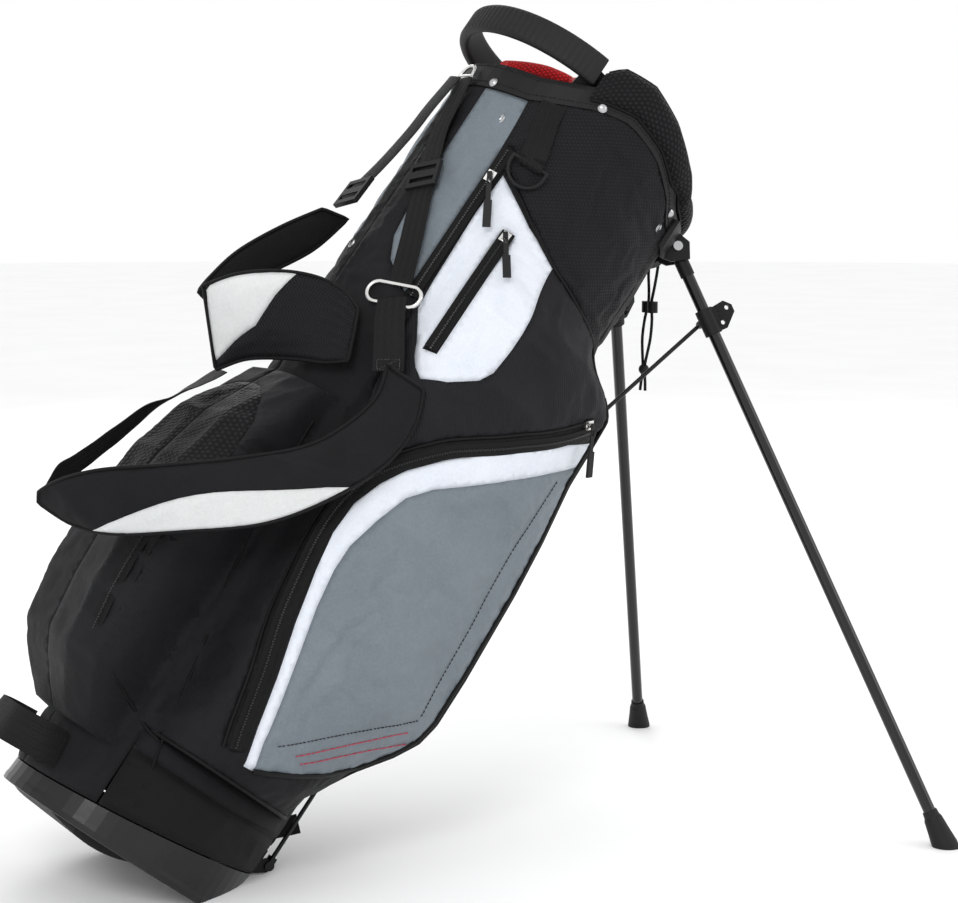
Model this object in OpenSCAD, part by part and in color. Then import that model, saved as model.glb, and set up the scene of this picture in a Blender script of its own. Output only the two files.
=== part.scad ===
// Golf stand bag leaning on its two deployed legs.
// World: +Z up, ground at z = 0, the bag leans towards +X, Y runs across the bag.
// Bag frame (u, v, n): n runs up the bag's axis, u towards the leg side, v across.

/* [Stance] */
// Lean of the bag's axis from vertical, degrees
tilt = 37.5; // [36.5:0.5:38.5]
// Place of the bag's axis at the rim, along X
base_x = -342; // [-350:1:-334]

/* [Base] */
// Half depth of the base, front to back
base_depth = 129; // [127:0.5:131]
// Half width of the base, side to side
base_side = 114; // [112:0.5:116]
// Distance from the axis at which the ground facet starts
heel_start = 57; // [55:0.5:59]
// Wall of the base cup
cup_wall = 3.5; // [3:0.5:4]
// Height of the cup's top edge on the axis
cup_edge = 37; // [35:1:39]

/* [Body] */
// Half depth of the top on the leg side
top_leg = 135; // [134:0.5:136]
// Half depth of the top on the spine side
top_spine = 141; // [140:0.5:142]
// Half width of the top
top_side = 125; // [124:0.5:126]
// Length of the body up to the collar
body_len = 850; // [848:1:852]
// Thickness of the padded skin
skin = 3; // [2:0.5:4]

/* [Legs] */
// Distance of the leg pivots from the axis
hinge_u = 130; // [129.5:0.1:130.5]
// Half distance between the leg pivots
hinge_v = 63; // [62.5:0.1:63.5]
// Height of the leg pivots
hinge_n = 824; // [823:0.5:825]
// Angle between the folded and the deployed leg, degrees
leg_swing = 57; // [56.5:0.1:57.5]
// Turn of each hinge away from the middle, degrees
leg_splay = 24; // [23.5:0.1:24.5]
// Outer diameter of the leg tubes
leg_tube_d = 12.7; // [12:0.1:13]
// Wall of the leg tubes
leg_tube_wall = 1; // [0.8:0.1:1.2]

/* [Rods] */
// Diameter of the push rods and links
rod_d = 4.4; // [4:0.1:4.8]
// Distance from the leg pivot to the link pin, along the leg
link_reach = 83; // [82:0.5:84]
// Distance of the link pin behind the leg's centre line
link_back = 6; // [5.5:0.1:6.5]

/* [Straps] */
// Width of the strap webbing
webbing_w = 25; // [24:1:26]
// Thickness of the webbing
webbing_t = 2; // [1.5:0.1:2.5]
// Thickness of the shoulder pads
pad_t = 14; // [12:1:16]

/* [Hidden] */
$fn = 64;

// Sides of a ring around the bag, and of a narrow ring
ring_sides = 60;
// Clearance between skins that lie on each other
gap = 0.5;
base_z = heel_start * sin(tilt);

// ---------- plain helpers ----------
function mix(a, b, t) = a + (b - a) * t;
function clamp01(t) = min(1, max(0, t));
function smooth(t) = let (c = clamp01(t)) c * c * (3 - 2 * c);
function unit(v) = v / norm(v);
function dir(a) = [cos(a), sin(a), 0];

// ---------- outline of the bag's body ----------
function body_rise(n) = clamp01(n / (0.7 * body_len));
function body_leg(n) = mix(base_depth, top_leg, body_rise(n));
function body_spine(n) = mix(base_depth, top_spine, body_rise(n));
function body_side(n) = mix(base_side, top_side, n / body_len);
function body_radius(a, n) =
    let (depth = cos(a) > 0 ? body_leg(n) : body_spine(n), side = body_side(n))
    1 / sqrt(pow(cos(a) / depth, 2) + pow(sin(a) / side, 2));
function on_body(a, n, out = 0) = dir(a) * (body_radius(a, n) + out) + [0, 0, n];

// Edges of the collar, by angle away from the leg side
function turn(a) = let (b = abs(a) % 360) b > 180 ? 360 - b : b;
function collar_low(a) = lookup(turn(a), [[0, 815], [50, 822], [60, 838], [80, 858],
    [100, 866], [115, 858], [130, 842], [145, 829], [180, 825]]);
function collar_high(a) = collar_low(a) + lookup(turn(a), [[0, 24], [60, 24], [115, 26], [180, 30]]);
function cup_top(a) = cup_edge + 0.113 * cos(a) * body_radius(a, 30);

module in_bag() {
    translate([base_x, 0, base_z]) rotate([0, tilt, 0]) children();
}

// ---------- lofts and sweeps ----------
// Skins the rings in order; a closed loft joins the last ring to the first
module loft(rings, closed = false) {
    m = len(rings[0]);
    k = len(rings);
    last = closed ? k - 1 : k - 2;
    sides = [for (i = [0:last]) for (j = [0:m - 1])
        let (a = i * m + j, b = i * m + (j + 1) % m, r = (i + 1) % k,
             c = r * m + (j + 1) % m, d = r * m + j)
        each [[a, d, c], [a, c, b]]];
    floor_faces = end_strips(m);
    roof_faces = [for (f = floor_faces) [for (i = [len(f) - 1:-1:0]) (k - 1) * m + f[i]]];
    polyhedron(points = [for (r = rings) each r],
        faces = closed ? sides : concat(sides, floor_faces, roof_faces), convexity = 8);
}
// Cuts the end of a loft into strips, so that a crescent is never skinned across its hollow
function end_strips(m) = [for (j = [0:floor((m - 1) / 2) - 1])
    j + 1 == m - 2 - j ? [j, j + 1, m - 1 - j] : [j, j + 1, m - 2 - j, m - 1 - j]];

function ring_angles(sides = ring_sides) = [for (j = [0:sides - 1]) 360 * j / sides];

// Tangent of an open path at point i
function heading(path, i) = unit(path[min(i + 1, len(path) - 1)] - path[max(i - 1, 0)]);

// Smooth path through the hand-placed points
function spline_point(p, i, t) =
    let (k = len(p) - 1, a = p[max(i - 1, 0)], b = p[i], c = p[min(i + 1, k)], d = p[min(i + 2, k)])
    0.5 * (2 * b + (c - a) * t + (2 * a - 5 * b + 4 * c - d) * t * t
        + (3 * b - a - 3 * c + d) * t * t * t);
function spline(p, steps) = concat(
    [for (i = [0:len(p) - 2]) for (s = [0:steps - 1]) spline_point(p, i, s / steps)],
    [p[len(p) - 1]]);

// Flat strap along a path; outs holds the outward direction at each point
module strap(path, outs, width, thick) {
    loft([for (i = [0:len(path) - 1])
        let (t = heading(path, i), side = unit(cross(t, outs[i])), out = unit(cross(side, t)),
             s = side * width / 2, o = out * thick / 2)
        [path[i] - s - o, path[i] - s + o, path[i] + s + o, path[i] + s - o]]);
}

// Lens-shaped pad between an upper and a lower edge
module edged_pad(upper, lower, thick, taper = 0.55) {
    k = len(upper) - 1;
    mids = [for (i = [0:k]) (upper[i] + lower[i]) / 2];
    loft([for (i = [0:k])
        let (t = heading(mids, i), across = lower[i] - upper[i], wide = norm(across) / 2,
             s = across / norm(across), out = unit(cross(s, t)),
             end = min(1, taper + min(i, k - i) * 0.3), h = thick / 2 * end)
        [for (a = [0:30:330]) mids[i] + s * wide * cos(a) * (1 - 0.04 * pow(sin(a), 2))
            - out * h * sign(sin(a)) * pow(abs(sin(a)), 0.6)]]);
}

// Round cord along a path
module round_cord(path, d, sides = 8) {
    loft([for (i = [0:len(path) - 1])
        let (t = heading(path, i), side = unit(cross(t, [0, 1, 0])), up = cross(side, t))
        [for (j = [0:sides - 1])
            path[i] + (side * cos(360 * j / sides) - up * sin(360 * j / sides)) * d / 2]]);
}

// ---------- base ----------
// Solid ellipse of the base, grown or shrunk by out, between two heights
module base_slab(out, low, high) {
    loft([for (n = [low, high]) [for (a = ring_angles())
        dir(a) * (body_radius(a, 0) + out) + [0, 0, n]]]);
}

// Everything below the plane that lies on the ground, lifted by some distance
module under_ground(lift = 0) {
    rotate([0, -tilt, 0]) translate([-500, -500, -base_z + lift - 400]) cube([1400, 1000, 400]);
}

rocker_u = 8;
rocker_n = 45.2;
rocker_pin_d = 6;
slot_w = 13;

module base_cup() {
    color("#141416") in_bag() difference() {
        loft([for (r = [[0, 0], [1.2, 0.6], [1.5, 6], [0.6, 10], [0, 1]])
            [for (a = ring_angles())
                let (n = r[1] == 1 ? cup_top(a) : r[1])
                dir(a) * (body_radius(a, 0) + r[0]) + [0, 0, n]]]);
        base_slab(-cup_wall, 9, 80);
        // Well for the rocker plate
        translate([-6, -92, -5]) cube([140, 184, 20]);
        base_slab_well();
        under_ground();
        for (s = [-1, 1]) translate([100, s * rod_v - slot_w / 2, -5]) cube([40, slot_w, 90]);
    }
    color("#141416") in_bag() rocker_lugs();
}

// The open half of the cup, under the rocker plate
module base_slab_well() {
    intersection() {
        base_slab(-cup_wall, -5, 12);
        translate([-6, -150, -10]) cube([200, 300, 30]);
    }
}

// Two lugs on the cup's floor that hold the rocker's pin
module rocker_lugs() {
    for (s = [-1, 1]) difference() {
        translate([0, s * 62, 0]) rotate([90, 0, 0]) linear_extrude(6, center = true)
            polygon([[-14, 8.9], [3, 8.9], [16, 36], [16, 50], [11, 54], [2, 54]]);
        translate([rocker_u, s * 62, rocker_n]) rotate([90, 0, 0])
            cylinder(d = rocker_pin_d, h = 20, center = true);
    }
}

// Crowned rubber pad under the spine half of the cup
module base_pad() {
    color("#1b1b1d") in_bag() intersection() {
        translate([-58, 0, 132 - 8]) rotate([90, 0, 0]) cylinder(r = 132, h = 180, center = true, $fn = 120);
        base_slab(-cup_wall - 3, -9, -0.3);
        translate([-140, -80, -20]) cube([134, 160, 30]);
    }
}

// Pins of the rocker plate and of both legs
module pivot_pins() {
    color("silver") in_bag() {
        translate([rocker_u, 0, rocker_n]) rotate([90, 0, 0])
            cylinder(d = rocker_pin_d, h = 130, center = true);
        for (s = [-1, 1]) at_hinge(s) rotate([90, 0, 0]) {
            cylinder(d = 5, h = 26, center = true);
            for (e = [-1, 1]) translate([0, 0, e * 12.6]) difference() {
                cylinder(d = 10, h = 1.6, center = true);
                cylinder(d = 4, h = 3, center = true);
            }
        }
    }
}

// Frame at a leg pivot: x away from the bag, y along the hinge, z up the bag's axis
module at_hinge(s) {
    translate([hinge_u, s * hinge_v, hinge_n]) rotate([0, 0, s * leg_splay]) children();
}

// ---------- body ----------
module body_shell() {
    color("#26262b") in_bag() {
        outer = [for (f = [0, 0.08, 0.25, 0.45, 0.65, 0.85, 1]) [for (a = ring_angles())
            on_body(a, mix(cup_top(a) + gap, collar_low(a) - gap, f))]];
        inner = [for (f = [1, 0.5, 0]) [for (a = ring_angles())
            on_body(a, mix(cup_top(a) + gap, collar_low(a) - gap, f), -skin)]];
        difference() {
            loft(concat(outer, inner), closed = true);
            for (s = [-1, 1]) translate([100, s * rod_v - slot_w / 2, 30]) cube([50, slot_w, 47]);
            under_ground();
        }
    }
}

// Stiff stays inside the skin that carry the collar over the base
module side_stays() {
    color("#3a3a3d") in_bag() for (a = [60, 120, 240, 300])
        translate(on_body(a, 420, -skin - 7)) {
            rotate([0, 0, a]) difference() {
                cylinder(d = 8, h = 740, center = true);
                cylinder(d = 6, h = 742, center = true);
            }
        }
}

// ---------- collar, handle and dividers ----------
function band(low, high, radii, angles) = [for (r = radii) [for (a = angles)
    on_body(a, mix(low(a), high(a), r[1]), r[0])]];

module collar_frame() {
    color("#161618") in_bag() loft(band(function (a) collar_low(a), function (a) collar_high(a),
        [[2.5, 0], [2.5, 0.8], [0.5, 1], [-6, 1], [-8, 0.7], [-6, 0]], ring_angles()), closed = true);
}

// Padded mesh cuff over the collar's leg side
cuff_half = 122;
function cuff_height(a) = lookup(turn(a), [[0, 6], [45, 18], [78, 17], [100, 22], [116, 26], [122, 18]]);
module collar_cuff() {
    color("#1d1d20") in_bag() loft([for (i = [0:40])
        let (a = mix(cuff_half, -cuff_half, i / 40), foot = collar_high(a) + 0.5,
             low = collar_low(a) + lookup(turn(a), [[0, 23], [54, 23], [64, 10]]),
             top = collar_high(a) + cuff_height(a), h = top - low,
             puff = mix(2.4, 9, smooth((cuff_half - abs(a)) / 16)))
        [on_body(a, low, 2.9), on_body(a, low + 0.15 * h, 2.9 + puff * 0.7),
         on_body(a, low + 0.45 * h, 3 + puff), on_body(a, low + 0.8 * h, 2.5 + puff * 0.9),
         on_body(a, top, puff * 0.4 - 1), on_body(a, mix(foot, top, 0.9), -5),
         on_body(a, foot, -6), on_body(a, foot, 2.9)]]);
}

// Carrying bail that arches over the spine side
handle_r = 105;
handle_u = -60;
handle_n = 893;
handle_w = 32;
handle_t = 11;
handle_arc = 83;
module top_handle() {
    color("#1c1c1e") in_bag() {
        translate([handle_u, 0, handle_n]) rotate([0, 0, 180 - handle_arc])
            rotate_extrude(angle = 2 * handle_arc, $fn = 96) translate([handle_r, 0]) handle_section();
        for (s = [-1, 1]) handle_foot(s);
    }
}

module handle_section() {
    translate([-handle_t / 2, -handle_w / 2 + 3]) square([handle_t, handle_w - 6]);
    translate([-handle_t / 2 + 3, -handle_w / 2]) square([handle_t - 6, handle_w]);
    for (x = [-1, 1]) for (y = [-1, 1])
        translate([x * (handle_t / 2 - 3), y * (handle_w / 2 - 3)]) circle(r = 3, $fn = 24);
}

// Foot of the bail, which runs down inside the collar's side
module handle_foot(s) {
    a = s * (180 - handle_arc);
    foot = [handle_u, 0, 0] + dir(a) * handle_r;
    translate([foot[0] - 2, foot[1] - s * 9, handle_n - 48]) rotate([0, 0, a])
        translate([-5, -12, 0]) cube([7, 24, 46]);
}

module collar_rivets() {
    color("silver") in_bag() for (r = [[-163, 10], [-115, 8], [-51, 15], [163, 10], [115, 8], [51, 15]])
        let (a = r[0], n = collar_low(a) + r[1] - 4)
        translate(on_body(a, n, 2.6)) rotate([0, 90, a]) intersection() {
            translate([0, 0, -3.2]) sphere(r = 6, $fn = 32);
            translate([0, 0, 5]) cube([20, 20, 10], center = true);
        }
}

// Padded tops of the club dividers, domed towards the middle
divider_t = 20;
function dome(u, v) = 912 - 45 * pow((u + 30) / 100, 2) - 22 * pow(v / 100, 2);
cross_bars = [-45, 45];
bar_shape = [[-1, -1], [-1, 0.2], [-0.6, 0.85], [0, 1.05], [0.6, 0.85], [1, 0.2], [1, -1]];
function bar_ring(p, s, n, w, h) = [for (k = bar_shape)
    [p[0], p[1], n] + s * k[0] * w / 2 + [0, 0, k[1] * h]];
module divider_pad() {
    color("#d8141c") in_bag() {
        reach_u = [for (i = [0:16]) mix(-121, 117, i / 16)];
        loft([for (u = reach_u) bar_ring([u, 0], [0, -1, 0], dome(u, 0) - 14, divider_t, 13)]);
        for (u = cross_bars) for (s = [-1, 1])
            loft([for (i = [0:8]) let (v = s * mix(divider_t / 2 - 2, 98, i / 8))
                bar_ring([u, v], [s, 0, 0], dome(u, v) - 15, divider_t, 13)]);
    }
}

// Full-length divider panels below the padded tops
panel_low = 80;
module divider_panels() {
    color("#303035") in_bag() {
        divider_sheet([-120, 0], [114, 0]);
        for (u = cross_bars) for (s = [-1, 1]) divider_sheet([u, s * 1.2], [u, s * 96]);
        base_slab(-skin - 2, 70, panel_low);
    }
}
module divider_sheet(a, b) {
    t = 2;
    l = norm(b - a);
    low = panel_low - 0.5;
    steps = 10;
    translate([a[0], a[1], 0]) rotate([0, 0, atan2(b[1] - a[1], b[0] - a[0])]) rotate([90, 0, 0])
        translate([0, 0, -t / 2]) linear_extrude(t) polygon(concat([[0, low]], [[l, low]],
            [for (i = [steps:-1:0]) let (p = mix(a, b, i / steps))
                [l * i / steps, dome(p[0], p[1]) - 27.5]]));
}

// ---------- leg hinge bracket ----------
ear_in = 8.2;
ear_t = 3.4;
head_r = 8.4;
module leg_bracket() {
    color("#232326") in_bag() {
        difference() {
            loft([for (i = [0:24]) let (a = mix(-44, 44, i / 24))
                [for (r = [[3, 804], [3, 837], [8.5, 837], [8.5, 804]])
                    dir(a) * (body_radius(a, 820) + r[0]) + [0, 0, r[1]]]]);
            for (s = [-1, 1]) at_hinge(s) {
                rotate([90, 0, 0]) cylinder(r = head_r + 1.2, h = 2 * ear_in + 0.2, center = true);
                translate([-head_r - 1, -ear_in - 0.1, -60]) cube([2 * head_r + 2, 2 * ear_in + 0.2, 60]);
            }
        }
        for (s = [-1, 1]) at_hinge(s) for (e = [-1, 1])
            translate([0, e * (ear_in + ear_t / 2), 0]) ear();
    }
}

// One clevis ear, a plate with an angled outline, drilled for the leg's pin
module ear() {
    rotate([90, 0, 0]) difference() {
        linear_extrude(ear_t, center = true)
            polygon([[-8, -20], [3, -18], [18, -4], [8, 11], [-8, 12.5]]);
        cylinder(d = 5, h = 10, center = true);
    }
}

// ---------- side pockets ----------
// Height at which the side bulge dies out, by angle from the leg side
function bulge_top(a) = lookup(turn(a), [[34, 690], [60, 700], [93, 706], [115, 735], [137, 757]]);
// How far the bulge stands out half way round the side, by height
function side_depth(n) = lookup(n, [[112, 26], [135, 40], [170, 45], [480, 45], [560, 42], [620, 34],
    [680, 14], [706, 1]]);
// Distance of the pocket's front edge from the bag's axis, by height
function front_edge(n) = lookup(n, [[112, 124], [140, 129], [187, 157], [220, 182], [244, 196],
    [268, 201], [320, 201], [418, 197], [479, 192], [543, 184], [593, 183], [619, 182], [645, 173],
    [661, 160], [679, 142], [694, 136], [710, 136]]);
pocket_front = 36;
pocket_back = 132;
function bulge_out(a, n) =
    let (s = clamp01((90 - turn(a)) / (90 - pocket_front)),
         back = smooth((pocket_back - turn(a)) / 24),
         side = body_radius(90, n) + side_depth(n),
         front = max(front_edge(n), body_radius(pocket_front, n) + 1),
         wanted = turn(a) > 90 ? mix(body_radius(a, n) + 1, body_radius(a, n) + side_depth(n), back)
             : mix(side, front, pow(s, 1.6)),
         fade = smooth((bulge_top(a) - n) / 70))
    mix(body_radius(a, n) + 1, max(wanted, body_radius(a, n) + 1), n > 600 ? fade : 1);

bulge_levels = [112, 124, 140, 160, 185, 215, 250, 290, 340, 400, 460, 520, 560, 590, 615, 640, 660, 675,
    690, 705, 720, 740, 757];
bulge_steps = 22;
module side_bulge() {
    loft([for (n = bulge_levels) concat(
        [for (i = [0:bulge_steps]) let (a = mix(pocket_back, pocket_front, i / bulge_steps))
            dir(-a) * bulge_out(a, n) + [0, 0, n]],
        [for (i = [bulge_steps:-1:0]) let (a = mix(pocket_back, pocket_front, i / bulge_steps))
            on_body(-a, n, gap)])]);
}

// Half space below the slanted zip that parts the ball pocket from the garment pocket
zip_u = -42;
zip_n = 415;
zip_slope = 49;
module below_zip(shift) {
    translate([zip_u, -400, zip_n + shift]) rotate([0, -zip_slope, 0]) translate([-900, 0, -900])
        cube([1800, 800, 900]);
}
module near_garment_solid() {
    difference() {
        side_bulge();
        below_zip(gap);
    }
}
module near_ball_solid() {
    intersection() {
        side_bulge();
        below_zip(-gap);
    }
}
module near_garment_pocket() { color("#e9ecef") in_bag() near_garment_solid(); }
module far_garment_pocket() { color("#222226") in_bag() mirror([0, 1, 0]) near_garment_solid(); }
module near_ball_pocket() { color("#7d8990") in_bag() near_ball_solid(); }
module far_ball_pocket() { color("#7d8990") in_bag() mirror([0, 1, 0]) near_ball_solid(); }

// ---------- spine pockets ----------
function spine_depth(n) = lookup(n, [[80, 3], [100, 22], [123, 41], [143, 53], [200, 61], [240, 63],
    [300, 62], [340, 56], [400, 40], [450, 14], [470, 3]]);
spine_half = 40;
function spine_out(a, n) =
    let (off = abs(180 - a), side = spine_half, flat = body_spine(n) + spine_depth(n),
         square_r = flat / cos(min(off, 30)),
         fall = smooth((side - off) / 9))
    mix(body_radius(a, n) + 1.2, min(square_r, flat * 1.05), fall);
function spine_angle(i) = mix(180 - spine_half, 180 + spine_half, i / 16);
module spine_pocket(levels) {
    loft([for (n = levels) concat(
        [for (i = [0:16]) let (a = spine_angle(i)) dir(a) * spine_out(a, n) + [0, 0, n]],
        [for (i = [16:-1:0]) on_body(spine_angle(i), n, gap)])]);
}
module lower_spine_pocket() {
    color("#26262b") in_bag() spine_pocket([80, 90, 102, 115, 130, 150, 200, 250, 296]);
}
module upper_spine_pocket() {
    color("#2b2b30") in_bag() spine_pocket([297, 320, 345, 370, 400, 425, 450, 470]);
}

// ---------- zips, sliders and pullers ----------
zip_w = 13;
zip_t = 1.2;
garment_zip_a = -139;
garment_face = -133;
panel_zip_a = -119;
module garment_zip() {
    color("#0f0f10") in_bag() at_skin(garment_zip_a, 133.2, 597, garment_face)
        translate([-zip_t / 2, -zip_w / 2, 0]) cube([zip_t, zip_w, 178]);
}
module panel_zip() {
    pts = [for (n = [560:14:700]) dir(panel_zip_a) * (bulge_out(panel_zip_a, n) + 0.7) + [0, 0, n]];
    color("#0f0f10") in_bag() strap(pts, [for (p = pts) dir(-126)], zip_w, zip_t);
}
// Line of the long zip around the ball pocket: angle and height
ball_zip_line = [[-43, 600], [-54, 572], [-65, 547], [-72, 532], [-79, 516], [-87, 499], [-94, 483],
    [-101.5, 460], [-108, 436], [-113, 410], [-115.3, 382], [-115.6, 353], [-114.3, 318], [-111, 263],
    [-106, 212], [-102, 164], [-99, 138]];
module ball_zip() {
    line = spline([for (p = ball_zip_line) [p[0], p[1], 0]], 2);
    pts = [for (p = line) dir(p[0]) * (bulge_out(p[0], p[1]) + 0.7) + [0, 0, p[1]]];
    color("#0f0f10") in_bag() strap(pts, [for (p = line) dir(p[0])], zip_w, zip_t);
}

// Frame on the skin at angle a: x outward at angle face, tipped up by lean; spin turns z about x
module at_skin(a, r, n, face, lean = 0, spin = 0) {
    translate(dir(a) * r + [0, 0, n]) rotate([0, 0, face]) rotate([0, -lean, 0])
        rotate([spin, 0, 0]) children();
}
module slider() {
    difference() {
        union() {
            translate([0.4, -4.5, -6]) cube([2.6, 9, 12]);
            translate([2.6, -1.5, -5]) cube([3.4, 3, 10]);
        }
        translate([3, -3, -3]) cube([1.8, 6, 6]);
        rotate([0, 90, 0]) cylinder(d = 2.6, h = 9, $fn = 32);
    }
}
// Flat tab that hangs from the slider's bridge
module puller(long) {
    difference() {
        union() {
            translate([6.3, -2.5, -long * 0.5]) cube([1.6, 5, long * 0.5 + 3]);
            translate([6.1, -4, -long]) cube([2.6, 8, long * 0.5]);
        }
        translate([5, -1.2, -10]) cube([5, 2.4, 6]);
    }
    translate([3.3, 0, 0]) rotate([0, 90, 0]) cylinder(d = 2, h = 3.4, $fn = 32);
    translate([3.3, 0, 0]) rotate([0, 90, 0]) cylinder(d = 3.4, h = 1.2, $fn = 32);
}
garment_slider_n = 741;
panel_slider_n = 694;
ball_slider_a = -49;
ball_slider_n = 598;
module at_garment_slider(spin) {
    at_skin(garment_zip_a, 134.3, garment_slider_n, garment_face, 0, spin) children();
}
module at_panel_slider(spin) {
    r = bulge_out(panel_zip_a, panel_slider_n) + 3.6;
    at_skin(panel_zip_a, r, panel_slider_n, -130, 16, spin) children();
}
module at_ball_slider(spin) {
    r = bulge_out(ball_slider_a, ball_slider_n) + 3;
    at_skin(ball_slider_a, r, ball_slider_n, -69.6, 8, spin) children();
}
module garment_slider() { color("silver") in_bag() at_garment_slider(0) slider(); }
module panel_slider() { color("silver") in_bag() at_panel_slider(0) slider(); }
module ball_slider() { color("silver") in_bag() at_ball_slider(-52.2) slider(); }
// The pullers hang straight down from their sliders
module garment_puller() { color("#1a1a1b") in_bag() at_garment_slider(29.3) puller(56); }
module panel_puller() { color("#1a1a1b") in_bag() at_panel_slider(33.9) puller(50); }
module ball_puller() { color("#1a1a1b") in_bag() at_ball_slider(35) puller(52); }

// ---------- webbing pieces ----------
module carry_handle() {
    pts = spline([[-125, -50, 52], [-150, -52, 50], [-172, -30, 48], [-176, 0, 48], [-172, 30, 48],
        [-150, 52, 50], [-125, 50, 52]], 4);
    color("#18181a") in_bag() strap(pts, [for (p = pts) unit([p[0] + 60, p[1], 0])], 36, 2.4);
}

towel_a = -127;
towel_n = 771;
towel_bar_d = 4;
towel_face = -121;
towel_r = body_radius(towel_a, towel_n) + 8;
module towel_loop() {
    pts = [on_body(-133, 838, 4), on_body(-132, 820, 4.6), on_body(-130, 800, 3), on_body(-128, 784, 3)];
    color("#141415") in_bag() {
        strap(pts, [for (p = pts) dir(-130)], 26, 2);
        at_skin(towel_a, towel_r, towel_n, towel_face) difference() {
            union() {
                rotate([90, 0, 0]) cylinder(d = towel_bar_d + 4.8, h = 26, center = true);
                translate([-6, -13, -2]) cube([5, 26, 18]);
            }
            rotate([90, 0, 0]) cylinder(d = towel_bar_d + 0.8, h = 30, center = true);
        }
    }
}
module towel_ring() {
    color("#1a1a1b") in_bag() at_skin(towel_a, towel_r, towel_n, towel_face, -4) {
        rotate([90, 0, 0]) cylinder(d = towel_bar_d, h = 38, center = true);
        for (y = [-19, 19]) translate([0, y, -6]) cylinder(d = towel_bar_d, h = 6);
        for (y = [-19, 19]) translate([0, y, 0]) sphere(d = towel_bar_d, $fn = 24);
        translate([0, 0, -6]) rotate([0, 90, 0]) rotate([0, 0, -90])
            rotate_extrude(angle = 180, $fn = 64) translate([19, 0]) circle(d = towel_bar_d, $fn = 24);
    }
}

module leg_strap() {
    pts = [for (a = [-15:5:15]) on_body(a, 96, 2.2)];
    tab = spline([[132, -8, 98], [141, -11, 107], [150, -15, 117]], 3);
    color("#19191b") in_bag() {
        strap(pts, [for (a = [-15:5:15]) dir(a)], 25, 2);
        strap(tab, [for (p = tab) unit([0.75, 0, 0.6])], 20, 2);
    }
}

module dome_stud(r, h) {
    rotate([0, 90, 0]) intersection() {
        translate([0, 0, h - r]) sphere(r = r, $fn = 32);
        translate([0, 0, 5]) cube([20, 20, 10], center = true);
    }
}
module snap_studs() {
    color("silver") in_bag() {
        at_skin(-151, body_radius(-151, 800) - 0.2, 800, -151) dome_stud(6, 2.8);
        at_skin(172, body_radius(172, 628) - 0.2, 628, 172) dome_stud(6, 2.8);
        at_skin(-52, body_radius(-52, 822) - 0.2, 814, -52) rotate([0, 90, 0]) difference() {
            cylinder(d = 9, h = 1.4);
            translate([0, 0, -1]) cylinder(d = 4, h = 4);
        }
    }
}

ring_wire = 3.6;
module top_ring() {
    color("silver") in_bag() translate([-148.5, -3, 832]) {
        rotate([90, 0, 0]) cylinder(d = ring_wire, h = 26, center = true);
        rotate([0, -90, 0]) rotate([0, 0, -90]) rotate_extrude(angle = 180, $fn = 48)
            translate([13, 0]) circle(d = ring_wire, $fn = 24);
    }
}

near_path = spline([[-149, -6, 828], [-147, -14, 790], [-145, -22, 757], [-140, -44, 712],
    [-133, -58, 675], [-124, -70, 639], [-114, -79, 600]], 3);
module near_webbing() {
    outs = [for (p = near_path) unit([p[0], p[1], 0])];
    color("#161617") in_bag() strap(near_path, outs, webbing_w, webbing_t);
}
// Three-bar buckle in the x-y plane, the strap running along y
module three_bar(w, l, t) {
    difference() {
        translate([-w / 2, -l / 2, -t / 2]) cube([w, l, t]);
        for (s = [-1, 1]) translate([-w / 2 + 4, s * (l / 4 - 0.6) - (l / 4 - 4) / 1.3, -t])
            cube([w - 8, (l / 4 - 4) * 2 / 1.3, 2 * t]);
    }
}
module near_buckle() {
    color("#1a1a1b") in_bag() at_skin(-163.5, 148.5, 712, -163.5, 0, 24) rotate([0, 90, 0])
        rotate([0, 0, 90]) three_bar(37, 30, 4.5);
}

// Long silver ring that joins the near strap, the pad and the lower webbing
module junction_ring() {
    color("silver") in_bag() at_skin(-145, 139, 589, -145, 0, 14) for (s = [-1, 1]) {
        translate([0, 0, s * 11]) rotate([90, 0, 0]) cylinder(d = 4, h = 36, center = true);
        translate([0, s * 18, 0]) rotate([s > 0 ? 0 : 180, 0, 0]) rotate([0, 90, 0])
            rotate_extrude(angle = 180, $fn = 48) translate([11, 0]) circle(d = 4, $fn = 24);
    }
}
lower_path = spline([[-114, -82, 584], [-108, -96, 560], [-99, -110, 536], [-92, -121, 516]], 3);
module lower_webbing() {
    color("#161617") in_bag() strap(lower_path, [for (p = lower_path) unit([p[0], p[1], 0])], 30, webbing_t);
}

near_pad_up = [[-102, -132, 518], [-95, -138, 488], [-107, -145, 449], [-130, -142, 406], [-180, -136, 358],
    [-231, -127, 315], [-270, -108, 281], [-288, -85, 255], [-291, -62, 236]];
near_pad_low = [[-65, -153, 517], [-59, -167, 481], [-66, -176, 435], [-91, -171, 378], [-126, -153, 324],
    [-183, -135, 275], [-225, -112, 241], [-252, -82, 228], [-284, -58, 228]];
module near_pad() {
    color("#1c1c1e") in_bag() edged_pad(spline(near_pad_up, 2), spline(near_pad_low, 2), pad_t, 0.4);
}

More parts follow.
